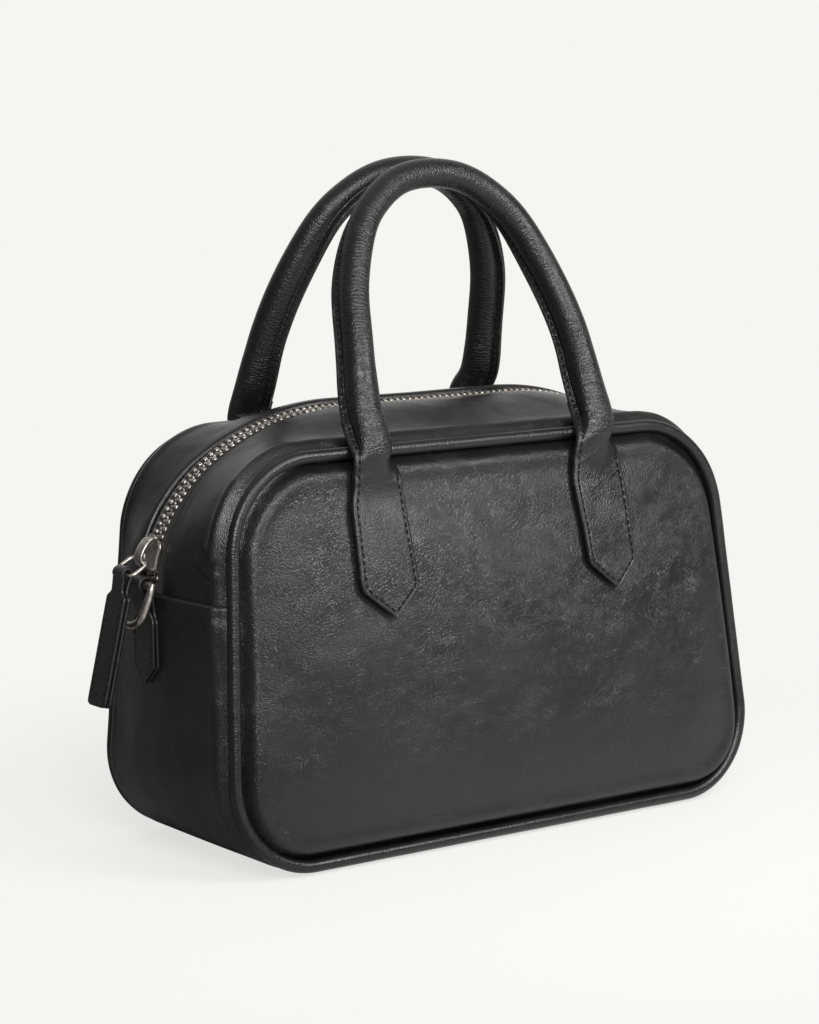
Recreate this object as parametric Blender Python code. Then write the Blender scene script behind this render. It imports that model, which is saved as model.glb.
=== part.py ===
"""A small bowling bag: a zipped leather shell between two piped panels, two rolled handles, side rings.

X is the bag's width, with the zip's pull side at -X. The front faces -Y and Z is up.
The origin is the middle of the base patch's underside. All sizes are in metres.
"""

import math

import bmesh
import bpy
from mathutils import Matrix, Vector

# Driving sizes of the shell, measured on the middle line of the piping
BOTTOM_WIDTH = 0.260
TOP_WIDTH = 0.2374
FRONT_HEIGHT = 0.1541
BACK_RISE = 0.0016
TOP_RADIUS = 0.0375
BOTTOM_RADIUS = 0.0333
DEPTH = 0.0941
FRONT_LEAN_SHARE = 0.121
BACK_LEAN_SHARE = 0.0219
BACK_BOW = 0.0050
PIPING_BASE = 0.0037
PIPING_RADIUS = 0.0025
SEAM_DROP = 0.0548

# Clearances
GAP = 0.0003
WIRE_GAP = 0.0005
LINING_SLACK = 0.0006
TAB_SLACK = 0.0004

# Wall thicknesses
LEATHER = 0.0020
PATCH_THICKNESS = 0.0015
LINING = 0.0008
BOARD_THICKNESS = 0.0024
TAPE_THICKNESS = 0.0007

# How far the panels and the gusset stand out
PANEL_BULGE = 0.0095
RIDGE_HEIGHT = 0.0040
BASE_DROP = 0.0018
SIDE_BULGE = 0.0079
# Height share from the bottom, and share of the panel's bulge there
PANEL_BULGE_SHARES = ((0.0, 0.0), (0.06, 0.42), (0.2, 0.9), (0.35, 1.0), (0.5, 0.88),
                      (0.6, 0.66), (0.7, 0.40), (0.83, 0.12), (0.93, 0.04), (1.0, 0.0))
PANEL_SIDE_POWER = 7
PANEL_RING_SHARES = (1.0, 0.95, 0.84, 0.68, 0.42)
RIDGE_SHARE = 0.07
DOME_START_SHARE = 0.14
DOME_END_SHARE = 0.44
LOWER_MIDDLE_SHARES = (0.3, 0.5, 0.7)

# Stations round the outline
LOWER_SIDE_STEPS = 3
UPPER_SIDE_STEPS = 2
CORNER_STEPS = 6
FLAT_STEPS = 6
PIPING_SIDES = 8

# Zip: its line rises from the seam in a round corner, goes on in a wider shoulder and ends flat
ZIP_CORNER_RADIUS = 0.0598
ZIP_CORNER_TURN = math.radians(55)
ZIP_SHOULDER_RADIUS = 0.1124
ZIP_OFFSET = 0.0025
ZIP_WINDOW = 0.0130
TAPE_WIDTH = 0.0125
TAPE_SPLIT = 0.0006
CHAIN_WIDTH = 0.0064
CORD_WIDTH = 0.0014
CHAIN_THICKNESS = 0.0017
TOOTH_PITCH = 0.0031
TOOTH_WIDTH_SHARE = 0.38
CHAIN_DEPTH = 0.0002
CHAIN_END_GAP = 0.0050
STOP_LENGTH = 0.0030

# Zip slider, with its ring and its leather puller
SLIDER_RISE_AT_REST = 0.0173
SLIDER_LENGTH = 0.0125
SLIDER_HEAD_WIDTH = 0.0108
SLIDER_TAIL_WIDTH = 0.0088
SLIDER_PLATE = 0.0016
SLIDER_WALL = 0.0010
BRIDGE_WIDTH = 0.0044
BRIDGE_LENGTH = 0.0108
BRIDGE_RISE = 0.0096
BRIDGE_THICKNESS = 0.0014
RING_WIRE_RADIUS = 0.0008
RING_LENGTH = 0.0138
RING_WIDTH = 0.0100
RING_CORNER_RADIUS = 0.0018
RING_DROP = math.radians(44)
PULLER_WIDTH = 0.0130
PULLER_LOOP_WIDTH = 0.0050
PULLER_LENGTH = 0.0515
PULLER_LEATHER = 0.0015
PULLER_LEAN = math.radians(13)
PULLER_ROW_SHARES = (1.0, 0.95, 0.1, 0.0)
PULLER_END_SHARE = 0.66
PULLER_NECK_SHARE = 3

# Side straps and their rings
STRAP_WIDTH = 0.0146
STRAP_LOOP_WIDTH = 0.0096
STRAP_LENGTH = 0.0325
STRAP_POINT = 0.0060
STRAP_NECK_DROP = 0.0045
STRAP_LEATHER = 0.0013
STRAP_TIP_SHARE = 0.2
STRAP_MIDDLE_SHARE = 0.6
LOOP_OPENING = math.radians(38)
SIDE_RING_WIRE_RADIUS = 0.0014
SIDE_RING_WIDTH = 0.0214
SIDE_RING_DROP = 0.0195
SIDE_RING_LEAN = math.radians(17)
SIDE_RING_AXIS_RISE = 0.0064
SIDE_RING_AXIS_OUT = 0.0072

# Handles
LEG_SPACING = 0.1130
HANDLE_TAB_WIDTH = 0.0250
HANDLE_NECK_WIDTH = 0.0215
HANDLE_TAB_THICKNESS = 0.0028
HANDLE_TAB_LENGTH = 0.0505
HANDLE_TAB_POINT = 0.0110
HANDLE_TAB_TIP_SHARE = 0.12
# Share of the height over the shoulder, and share of the tab's width there
HANDLE_TAB_BODY_SHARES = ((0.0, 1.0), (0.35, 0.97), (0.7, 0.92))
HANDLE_AXIS_DROP = 0.0113
HANDLE_AXIS_OUT = 0.0062
HANDLE_END_RADIUS = 0.0026
ROLL_RADIUS = 0.0059
ROLL_LEATHER = 0.0017
FLANGE_LENGTH = 0.0026
FLANGE_THICKNESS = 0.0028
FLANGE_SPLIT = 0.0006
FLANGE_TWIST = math.radians(40)
ARCH_BASE_DROP = 0.0034
FRONT_ARCH_Y = -0.0308
BACK_ARCH_Y = 0.0555
FRONT_ARCH_LEAN = math.radians(19.0)
BACK_ARCH_LEAN = math.radians(17.8)
ARCH_HEIGHT = 0.1144
BACK_ARCH_WIDTH_SHARE = 1.025
# Half of the arch as shares of its half span and of its height
ARCH_SHARES = ((1.0, 0.1), (0.995, 0.216), (0.95, 0.42), (0.865, 0.61), (0.70, 0.80), (0.52, 0.905),
               (0.28, 0.978), (0.0, 1.0))
# Lower leg of a handle: height over the joint, distance out of the panel, half width, half thickness
LEG_RISES = (-0.0024, -0.0014, 0.0, 0.0120, 0.0150)
LEG_OUTS = (0.0062, 0.0062, 0.0062, 0.0060, 0.0056)
LEG_HALF_WIDTHS = (0.0104, 0.0107, 0.0107, 0.0101, 0.0097)
LEG_HALF_THICKNESSES = (0.0012, 0.0022, 0.0026, 0.0029, 0.0030)
LEG_TOP_RISE = 0.0210
FRONT_LEG_TOP_OUT = 0.0020
BACK_LEG_TOP_OUT = 0.0034
LEG_TOP_HALF_WIDTH = 0.0084
LEG_TOP_HALF_THICKNESS = 0.0043
CORE_GAP = 0.0003

# Inside
BASE_PATCH_REACH = 0.0078
BASE_EDGE_GAP = 0.0008
BOARD_END_MARGIN = 0.0022
BOARD_MARGIN = 0.0060
POCKET_WIDTH = 0.1300
POCKET_HEIGHT = 0.0700
POCKET_BOTTOM = 0.0450
POCKET_COLUMN_SHARES = (0.0, 0.25, 0.5, 0.75, 1.0)

SIDE_TILT = math.atan2((BOTTOM_WIDTH - TOP_WIDTH) / 2, FRONT_HEIGHT)
BACK_HEIGHT = FRONT_HEIGHT + BACK_RISE
PANEL_TOP = PIPING_BASE + FRONT_HEIGHT
SEAM_HEIGHT = PANEL_TOP - SEAM_DROP
HANDLE_AXIS_HEIGHT = PANEL_TOP - HANDLE_AXIS_DROP
ARCH_BASE = PANEL_TOP - ARCH_BASE_DROP
UP = Vector((0, 0, 1))
FRONT = -1
BACK = 1


def clear_scene():
    for item in list(bpy.data.objects):
        bpy.data.objects.remove(item, do_unlink=True)


def make_material(name, colour, roughness, metallic=0.0):
    material = bpy.data.materials.new(name)
    material.use_nodes = True
    shader = material.node_tree.nodes["Principled BSDF"]
    shader.inputs["Base Color"].default_value = (*colour, 1)
    shader.inputs["Roughness"].default_value = roughness
    shader.inputs["Metallic"].default_value = metallic
    material.diffuse_color = (*colour, 1)
    return material


def add_object(name, bm, material, parent=None, sharp=math.radians(40)):
    bmesh.ops.recalc_face_normals(bm, faces=bm.faces)
    mesh = bpy.data.meshes.new(name)
    bm.to_mesh(mesh)
    bm.free()
    mesh.shade_smooth()
    mesh.set_sharp_from_angle(angle=sharp)
    mesh.materials.append(material)
    item = bpy.data.objects.new(name, mesh)
    bpy.context.collection.objects.link(item)
    if parent is not None:
        item.parent = parent
        item.matrix_parent_inverse = Matrix.Translation(-parent.location)
    return item


def add_pivot(name, location):
    pivot = bpy.data.objects.new(name, None)
    pivot.location = location
    bpy.context.collection.objects.link(pivot)
    return pivot


def lerp(a, b, share):
    return a + (b - a) * share


def smooth(share):
    share = min(max(share, 0), 1)
    return share * share * (3 - 2 * share)


def share_curve(table, share):
    """Value of a table of (place, value) shares, eased between its rows."""
    for (a, va), (b, vb) in zip(table, table[1:]):
        if share <= b:
            return lerp(va, vb, (share - a) / (b - a))
    return table[-1][1]


def sheet_solid(outer, inner, closed=False):
    """A closed body between two grids of points, outer and inner, rows along the piece."""
    bm = bmesh.new()
    rows = len(outer)
    columns = len(outer[0])
    top = [[bm.verts.new(point) for point in row] for row in outer]
    bottom = [[bm.verts.new(point) for point in row] for row in inner]
    pairs = [(i, (i + 1) % rows) for i in range(rows if closed else rows - 1)]
    for i, k in pairs:
        for j in range(columns - 1):
            bm.faces.new((top[i][j], top[k][j], top[k][j + 1], top[i][j + 1]))
            bm.faces.new((bottom[i][j + 1], bottom[k][j + 1], bottom[k][j], bottom[i][j]))
        bm.faces.new((top[k][0], top[i][0], bottom[i][0], bottom[k][0]))
        bm.faces.new((top[i][-1], top[k][-1], bottom[k][-1], bottom[i][-1]))
    if not closed:
        for j in range(columns - 1):
            bm.faces.new((top[0][j], top[0][j + 1], bottom[0][j + 1], bottom[0][j]))
            bm.faces.new((top[-1][j + 1], top[-1][j], bottom[-1][j], bottom[-1][j + 1]))
    return bm


def ring_solid(rings, closed=False):
    """A closed body swept through rings of points, capped at both ends unless it closes on itself."""
    bm = bmesh.new()
    loops = [[bm.verts.new(point) for point in ring] for ring in rings]
    count = len(loops)
    sides = len(loops[0])
    for i in range(count if closed else count - 1):
        a = loops[i]
        b = loops[(i + 1) % count]
        for j in range(sides):
            k = (j + 1) % sides
            bm.faces.new((a[j], a[k], b[k], b[j]))
    if not closed:
        bm.faces.new(list(reversed(loops[0])))
        bm.faces.new(loops[-1])
    bmesh.ops.triangulate(bm, faces=[face for face in bm.faces if len(face.verts) > 4])
    return bm


def tube_solid(points, radius, sides, closed, width_way):
    """A round wire along points; width_way is a direction never along the wire."""
    rings = []
    count = len(points)
    for i, point in enumerate(points):
        before = points[(i - 1) % count] if closed or i else points[0]
        after = points[(i + 1) % count] if closed or i < count - 1 else points[-1]
        along = (after - before).normalized()
        side = along.cross(width_way).normalized()
        over = side.cross(along)
        rings.append([point + (side * math.cos(turn) + over * math.sin(turn)) * radius
                      for turn in (math.tau * j / sides for j in range(sides))])
    return ring_solid(rings, closed)


# The outline, walked from the left seam down, along the bottom, up the right side and over the top
def corner_centre(height, radius, side, level):
    """Centre of one corner arc: side is -1 or 1, level is the arc's height over the base."""
    tilt = SIDE_TILT
    across = BOTTOM_WIDTH / 2 - (radius + level * math.sin(tilt)) / math.cos(tilt)
    return Vector((side * across, 0, PIPING_BASE + level))


def outline(height, top_radius):
    """Stations (place, outward direction) on the middle line of the piping, in the XZ plane."""
    tilt = SIDE_TILT
    centres = {
        "lower left": corner_centre(height, BOTTOM_RADIUS, -1, BOTTOM_RADIUS),
        "lower right": corner_centre(height, BOTTOM_RADIUS, 1, BOTTOM_RADIUS),
        "upper right": corner_centre(height, top_radius, 1, height - top_radius),
        "upper left": corner_centre(height, top_radius, -1, height - top_radius),
    }
    stations = []

    def arc(corner, radius, start, end):
        for step in range(CORNER_STEPS + 1):
            angle = lerp(start, end, step / CORNER_STEPS)
            way = Vector((math.cos(angle), 0, math.sin(angle)))
            stations.append((centres[corner] + way * radius, way))

    def straight(goal, steps):
        start, way = stations[-1]
        for step in range(1, steps):
            stations.append((start.lerp(goal, step / steps), way.copy()))

    def arc_end(corner, radius, angle):
        return centres[corner] + Vector((math.cos(angle), 0, math.sin(angle))) * radius

    left = math.pi - tilt
    low = arc_end("lower left", BOTTOM_RADIUS, left)
    high = arc_end("upper left", top_radius, left)
    left_seam = low.lerp(high, (SEAM_HEIGHT - low.z) / (high.z - low.z))
    right_seam = Vector((-left_seam.x, 0, left_seam.z))
    stations.append((left_seam, Vector((math.cos(left), 0, math.sin(left)))))
    straight(low, LOWER_SIDE_STEPS)
    arc("lower left", BOTTOM_RADIUS, left, math.pi * 3 / 2)
    straight(arc_end("lower right", BOTTOM_RADIUS, -math.pi / 2), FLAT_STEPS)
    arc("lower right", BOTTOM_RADIUS, -math.pi / 2, tilt)
    straight(right_seam, LOWER_SIDE_STEPS)
    stations.append((right_seam, Vector((math.cos(tilt), 0, math.sin(tilt)))))
    straight(arc_end("upper right", top_radius, tilt), UPPER_SIDE_STEPS)
    arc("upper right", top_radius, tilt, math.pi / 2)
    straight(arc_end("upper left", top_radius, math.pi / 2), FLAT_STEPS)
    arc("upper left", top_radius, math.pi / 2, left)
    straight(left_seam, UPPER_SIDE_STEPS)
    return stations


SEAM_INDEX = 2 * (LOWER_SIDE_STEPS + CORNER_STEPS) + FLAT_STEPS
FRONT_LINE = outline(FRONT_HEIGHT, TOP_RADIUS)
BACK_LINE = outline(BACK_HEIGHT, TOP_RADIUS)
STATION_COUNT = len(FRONT_LINE)


def panel_half_width(z):
    return BOTTOM_WIDTH / 2 - (z - PIPING_BASE) * math.tan(SIDE_TILT)


def panel_plane(side, x, z):
    """Y of the face through a panel's piping: flat in front, bowed out towards its top at the back."""
    up = z - PIPING_BASE
    if side == FRONT:
        return -(DEPTH / 2 - FRONT_LEAN_SHARE * up)
    across = min(abs(x) / panel_half_width(z), 1)
    bow = BACK_BOW * (up / BACK_HEIGHT) ** 2 * (1 - across ** 2)
    return DEPTH / 2 - BACK_LEAN_SHARE * up + bow


def line_of(side):
    return FRONT_LINE if side == FRONT else BACK_LINE


def panel_height(side):
    return FRONT_HEIGHT if side == FRONT else BACK_HEIGHT


def panel_bulge(side, x, z):
    """How far a panel's face stands out of its plane."""
    share = (z - PIPING_BASE) / panel_height(side)
    across = min(abs(x) / panel_half_width(z), 1)
    rise = share_curve(PANEL_BULGE_SHARES, min(max(share, 0), 1))
    return PANEL_BULGE * rise * (1 - across ** PANEL_SIDE_POWER)


def panel_face(side, x, z, out=0.0):
    """A point on a panel's outer face, moved out by a distance."""
    return Vector((x, panel_plane(side, x, z) + side * (panel_bulge(side, x, z) + out), z))


def zip_corner_centre(side):
    """Centre of the round corner of the zip's line at the left (-1) or right (1)."""
    seam_x = -FRONT_LINE[0][0].x + SIDE_BULGE
    return Vector((side * (seam_x - ZIP_CORNER_RADIUS), 0, SEAM_HEIGHT))


def zip_shoulder_centre(side):
    """Centre of the wider arc that runs on from the corner without a break."""
    offset = ZIP_CORNER_RADIUS - ZIP_SHOULDER_RADIUS
    way = Vector((side * math.cos(ZIP_CORNER_TURN), 0, math.sin(ZIP_CORNER_TURN)))
    return zip_corner_centre(side) + way * offset


def distance_to_zip(place, way):
    """How far the zip's line lies outside a place, along an outward direction."""
    side = 1 if place.x > 0 else -1
    for centre, radius, end in ((zip_corner_centre(side), ZIP_CORNER_RADIUS, ZIP_CORNER_TURN),
                                (zip_shoulder_centre(side), ZIP_SHOULDER_RADIUS, math.pi / 2)):
        offset = place - centre
        along = offset.dot(way)
        inside = along ** 2 - offset.length_squared + radius ** 2
        reach = -along + math.sqrt(max(inside, 0))
        point = place + way * reach
        if math.atan2(point.z - centre.z, side * (point.x - centre.x)) <= end:
            return reach
    return (zip_top() - place.z) / way.z


def zip_top():
    """Height of the flat stretch of the zip's line."""
    return zip_shoulder_centre(1).z + ZIP_SHOULDER_RADIUS


def gusset_station(index):
    """Front and back place, outward direction, ridge height, middle height and middle shift at a station."""
    front, way = FRONT_LINE[index % STATION_COUNT]
    back = BACK_LINE[index % STATION_COUNT][0]
    front = Vector((front.x, panel_plane(FRONT, front.x, front.z), front.z))
    back = Vector((back.x, panel_plane(BACK, back.x, back.z), back.z))
    middle = (front + back) / 2
    if index <= SEAM_INDEX:
        under = smooth(-way.z)
        ridge = lerp(RIDGE_HEIGHT, BASE_DROP, under)
        dome = lerp(SIDE_BULGE, BASE_DROP, under)
        return front, back, way, ridge, dome, ZIP_OFFSET * (1 - under)
    flat_middle = Vector((middle.x, 0, middle.z))
    dome = distance_to_zip(flat_middle, way)
    return front, back, way, RIDGE_HEIGHT, dome, zip_middle_y(flat_middle + way * dome) - middle.y


def gusset_point(index, share, level=0.0):
    """A point on the gusset: share runs from the front piping to the back one."""
    front, back, way, ridge, dome, shift = gusset_station(index)
    near = min(share, 1 - share)
    height = ridge * math.sin(min(near / RIDGE_SHARE, 1) * math.pi / 2)
    height += (dome - ridge) * smooth((near - DOME_START_SHARE) / (DOME_END_SHARE - DOME_START_SHARE))
    aside = Vector((0, shift * smooth(2 * near), 0))
    return front.lerp(back, share) + aside + way * (height + level)


def gusset_depth(index):
    front, back = gusset_station(index)[:2]
    return back.y - front.y


def gusset_share(index, side, distance):
    """Share at a distance from the middle of the zip, towards the front or the back."""
    return 0.5 + side * distance / gusset_depth(index)


def edge_share(index, distance):
    """Share at a distance from the front piping's middle."""
    return distance / gusset_depth(index)


# Shell pieces
def bulged_plate(side, inset, outs):
    """A plate that follows a panel's bulge inside its outline, between two distances out of the panel."""
    middle = Vector((0, 0, PIPING_BASE + panel_height(side) / 2))
    bm = bmesh.new()
    layers = []
    for out in outs:
        rings = []
        for share in PANEL_RING_SHARES:
            ring = []
            for place, way in line_of(side):
                flat = middle.lerp(place - way * inset, share)
                ring.append(bm.verts.new(panel_face(side, flat.x, flat.z, out)))
            rings.append(ring)
        centre = bm.verts.new(panel_face(side, middle.x, middle.z, out))
        layers.append((rings, centre))
    for rings, centre in layers:
        for outer, inner in zip(rings, rings[1:]):
            for j in range(STATION_COUNT):
                k = (j + 1) % STATION_COUNT
                bm.faces.new((outer[j], outer[k], inner[k], inner[j]))
        for j in range(STATION_COUNT):
            bm.faces.new((rings[-1][j], rings[-1][(j + 1) % STATION_COUNT], centre))
    for j in range(STATION_COUNT):
        k = (j + 1) % STATION_COUNT
        bm.faces.new((layers[0][0][0][j], layers[0][0][0][k], layers[1][0][0][k], layers[1][0][0][j]))
    return bm


def make_panel(name, side, material):
    inset = PIPING_RADIUS + GAP
    return add_object(name, bulged_plate(side, inset, (LEATHER / 2, -LEATHER / 2)), material)


def make_piping(name, side, material):
    points = []
    for place, way in line_of(side):
        points.append(Vector((place.x, panel_plane(side, place.x, place.z), place.z)))
    tube = tube_solid(points, PIPING_RADIUS, PIPING_SIDES, True, Vector((0, 1, 0)))
    return add_object(name, tube, material)


def strip_rows(indices, shares, level):
    return [[gusset_point(index, share, level) for share in shares(index)] for index in indices]


def trimmed(rows, start, end):
    """Rows with the first and last drawn in along the piece by a distance."""
    for row, neighbour, distance in ((rows[0], rows[1], start), (rows[-1], rows[-2], end)):
        for j, point in enumerate(row):
            row[j] = point + (neighbour[j] - point).normalized() * distance
    return rows


def upper_indices():
    return range(SEAM_INDEX, STATION_COUNT + 1)


def zip_strip_shares(side):
    def shares(index):
        near = edge_share(index, PIPING_RADIUS + GAP)
        over_tape = gusset_share(index, -1, TAPE_WIDTH)
        lip = gusset_share(index, -1, ZIP_WINDOW / 2)
        places = [near, RIDGE_SHARE, DOME_START_SHARE, over_tape, lip]
        return places if side == FRONT else [1 - place for place in places]
    return shares


def make_zip_strip(name, side, material):
    shares = zip_strip_shares(side)
    outer = trimmed(strip_rows(upper_indices(), shares, 0.0), GAP / 2, GAP / 2)
    inner = trimmed(strip_rows(upper_indices(), shares, -LEATHER), GAP / 2, GAP / 2)
    return add_object(name, sheet_solid(outer, inner), material)


def lower_shares(index):
    near = edge_share(index, PIPING_RADIUS + GAP)
    half = [near, RIDGE_SHARE, DOME_START_SHARE]
    return [*half, *LOWER_MIDDLE_SHARES, *(1 - share for share in reversed(half))]


def make_lower_gusset(material):
    indices = range(SEAM_INDEX + 1)
    outer = trimmed(strip_rows(indices, lower_shares, 0.0), GAP / 2, GAP / 2)
    inner = trimmed(strip_rows(indices, lower_shares, -LEATHER), GAP / 2, GAP / 2)
    return add_object("lower_gusset", sheet_solid(outer, inner), material)


def base_indices():
    """Stations along the bottom, with one step up each corner."""
    first = LOWER_SIDE_STEPS + CORNER_STEPS
    return range(first, first + FLAT_STEPS + 1)


def base_flat_end():
    """Distance from the middle to where the flat bottom turns up."""
    return abs(FRONT_LINE[base_indices()[0]][0].x)


def make_base_patch(material):
    """A flat layer under the bottom, its ends bent up a little with the corners."""
    rise_at = base_flat_end()
    half = rise_at + BASE_PATCH_REACH
    edge = DEPTH / 2 - PIPING_RADIUS - BASE_EDGE_GAP
    places = [-half, -rise_at, 0, rise_at, half]
    lift = BOTTOM_RADIUS - math.sqrt(BOTTOM_RADIUS ** 2 - (half - rise_at) ** 2)
    outer = []
    inner = []
    for x in places:
        z = lift if abs(x) == half else 0
        outer.append([Vector((x, y, z)) for y in (-edge, edge)])
        inner.append([Vector((x, y, z + PATCH_THICKNESS)) for y in (-edge, edge)])
    return add_object("base_patch", sheet_solid(outer, inner), material)


def base_floor():
    """Height of the gusset's inner face along the bottom."""
    return PIPING_BASE - BASE_DROP + LEATHER


def make_base_board(material):
    z = base_floor() + GAP
    half = base_flat_end() - BOARD_END_MARGIN
    edge = DEPTH / 2 - PIPING_RADIUS - BOARD_MARGIN
    outer = [[Vector((x, y, z + BOARD_THICKNESS)) for y in (-edge, edge)] for x in (-half, half)]
    inner = [[Vector((x, y, z)) for y in (-edge, edge)] for x in (-half, half)]
    return add_object("base_board", sheet_solid(outer, inner), material)


# Lining
def lining_level(index):
    """Level of the lining strip's outer face: over the board below, near the leather at the sides."""
    way = FRONT_LINE[index][1]
    under = smooth(-way.z)
    return -lerp(LEATHER + GAP + LINING_SLACK, LEATHER + 2 * GAP + BOARD_THICKNESS, under)


def make_gusset_lining(material):
    indices = range(SEAM_INDEX + 1)
    inset = PIPING_RADIUS + LEATHER + LINING

    def shares(index):
        near = edge_share(index, inset)
        return [near, DOME_START_SHARE, 0.5, 1 - DOME_START_SHARE, 1 - near]

    outer = [[gusset_point(i, s, lining_level(i)) for s in shares(i)] for i in indices]
    inner = [[gusset_point(i, s, lining_level(i) - LINING) for s in shares(i)] for i in indices]
    strip = sheet_solid(trimmed(outer, GAP, GAP), trimmed(inner, GAP, GAP))
    return add_object("gusset_lining", strip, material)


def make_panel_lining(name, side, material):
    """A thin plate just inside a panel, drawn in from the gusset."""
    inset = PIPING_RADIUS + LEATHER + BOARD_THICKNESS + LINING * 2
    face = -LEATHER / 2 - GAP - LINING_SLACK
    return add_object(name, bulged_plate(side, inset, (face, face - LINING)), material)


def make_inner_pocket(material):
    depth = LEATHER / 2 + 2 * GAP + 2 * LINING_SLACK + LINING
    steps = 6
    outer = []
    inner = []
    for step in range(steps + 1):
        z = POCKET_BOTTOM + POCKET_HEIGHT * step / steps
        places = [POCKET_WIDTH * (share - 0.5) for share in POCKET_COLUMN_SHARES]
        outer.append([panel_face(BACK, x, z, -depth) for x in places])
        inner.append([panel_face(BACK, x, z, -depth - LINING) for x in places])
    return add_object("inner_pocket", sheet_solid(outer, inner), material)


# Zip
def zip_path():
    """Evenly walked zip line from the left seam over the top: (place, outward direction) at a length."""
    corner = ZIP_CORNER_RADIUS * ZIP_CORNER_TURN
    shoulder = ZIP_SHOULDER_RADIUS * (math.pi / 2 - ZIP_CORNER_TURN)
    reach = zip_shoulder_centre(1).x
    total = 2 * (corner + shoulder + reach)

    def at(length):
        side = -1 if length < total / 2 else 1
        walked = length if side < 0 else total - length
        if walked > corner + shoulder:
            return Vector((side * (reach - (walked - corner - shoulder)), 0, zip_top())), UP.copy()
        if walked < corner:
            centre = zip_corner_centre(side)
            radius = ZIP_CORNER_RADIUS
            angle = walked / radius
        else:
            centre = zip_shoulder_centre(side)
            radius = ZIP_SHOULDER_RADIUS
            angle = ZIP_CORNER_TURN + (walked - corner) / radius
        way = Vector((side * math.cos(angle), 0, math.sin(angle)))
        return centre + way * radius, way

    return total, at


ZIP_LENGTH, ZIP_AT = zip_path()


def zip_middle_y(place):
    """Y of the zip's middle: it leans back with the mean of the two panels."""
    return ZIP_OFFSET + (FRONT_LEAN_SHARE - BACK_LEAN_SHARE) / 2 * (place.z - PIPING_BASE)


def zip_point(length, across, level):
    """A point by the zip: length along it, across towards the back, level out of the leather's face."""
    place, way = ZIP_AT(length)
    return Vector((place.x, zip_middle_y(place) + across, place.z)) + way * level


def make_zip_tape(name, side, material):
    level = -LEATHER - GAP

    def shares(index):
        distances = (TAPE_SPLIT / 2, ZIP_WINDOW / 2, TAPE_WIDTH)
        return [gusset_share(index, side, distance) for distance in distances]

    outer = trimmed(strip_rows(upper_indices(), shares, level), GAP, GAP)
    inner = trimmed(strip_rows(upper_indices(), shares, level - TAPE_THICKNESS), GAP, GAP)
    return add_object(name, sheet_solid(outer, inner), material)


def make_teeth(name, side, material):
    """One row of teeth on its cord: a bar whose inner face is drawn out at every tooth."""
    top = -CHAIN_DEPTH
    bottom = top - CHAIN_THICKNESS
    usable = ZIP_LENGTH - 2 * CHAIN_END_GAP - 2 * STOP_LENGTH
    count = int(usable / TOOTH_PITCH)
    start = CHAIN_END_GAP + STOP_LENGTH + (0 if side == FRONT else TOOTH_PITCH / 2)
    tooth = TOOTH_PITCH * TOOTH_WIDTH_SHARE
    bm = bmesh.new()
    outer_y = side * CHAIN_WIDTH / 2
    root_y = side * (CHAIN_WIDTH / 2 - CORD_WIDTH)
    tip_y = -side * (CHAIN_WIDTH / 2 - CORD_WIDTH - GAP)
    rows = []
    for i in range(count):
        for length in (start + i * TOOTH_PITCH, start + i * TOOTH_PITCH + tooth):
            corners = ((outer_y, (top + bottom) / 2), (root_y, top), (root_y, bottom))
            rows.append([bm.verts.new(zip_point(length, y, level)) for y, level in corners])
    for i in range(len(rows) - 1):
        a = rows[i]
        b = rows[i + 1]
        bm.faces.new((a[0], b[0], b[1], a[1]))
        bm.faces.new((b[0], a[0], a[2], b[2]))
        if i % 2:
            bm.faces.new((a[1], b[1], b[2], a[2]))
            continue
        lengths = (start + i / 2 * TOOTH_PITCH, start + i / 2 * TOOTH_PITCH + tooth)
        tips = [[bm.verts.new(zip_point(s, tip_y, level)) for level in (top, bottom)] for s in lengths]
        bm.faces.new((a[1], b[1], tips[1][0], tips[0][0]))
        bm.faces.new((b[2], a[2], tips[0][1], tips[1][1]))
        bm.faces.new((a[2], a[1], tips[0][0], tips[0][1]))
        bm.faces.new((b[1], b[2], tips[1][1], tips[1][0]))
        bm.faces.new((tips[0][0], tips[1][0], tips[1][1], tips[0][1]))
    bm.faces.new(rows[0])
    bm.faces.new(list(reversed(rows[-1])))
    return add_object(name, bm, material)


def make_stop(name, start, length, across, width, material):
    """A small metal block on the zip's tapes."""
    top = -CHAIN_DEPTH
    bottom = -LEATHER
    lengths = (start, start + length)
    sides = (across - width / 2, across + width / 2)
    outer = [[zip_point(s, y, top) for y in sides] for s in lengths]
    inner = [[zip_point(s, y, bottom) for y in sides] for s in lengths]
    return add_object(name, sheet_solid(outer, inner), material)


# Slider
def slider_length_at_rest():
    """Length along the zip where the slider's middle stands at rest."""
    return ZIP_CORNER_RADIUS * math.asin(SLIDER_RISE_AT_REST / ZIP_CORNER_RADIUS)


SLIDER_AT = slider_length_at_rest()


def slider_pivot():
    centre = zip_corner_centre(-1)
    place = ZIP_AT(SLIDER_AT)[0]
    return Vector((centre.x, zip_middle_y(place), centre.z))


def slider_point(along, across, level):
    """A point of the slider: along it up the zip, across towards the back, level outwards."""
    return zip_point(SLIDER_AT + along, across, level)


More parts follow.
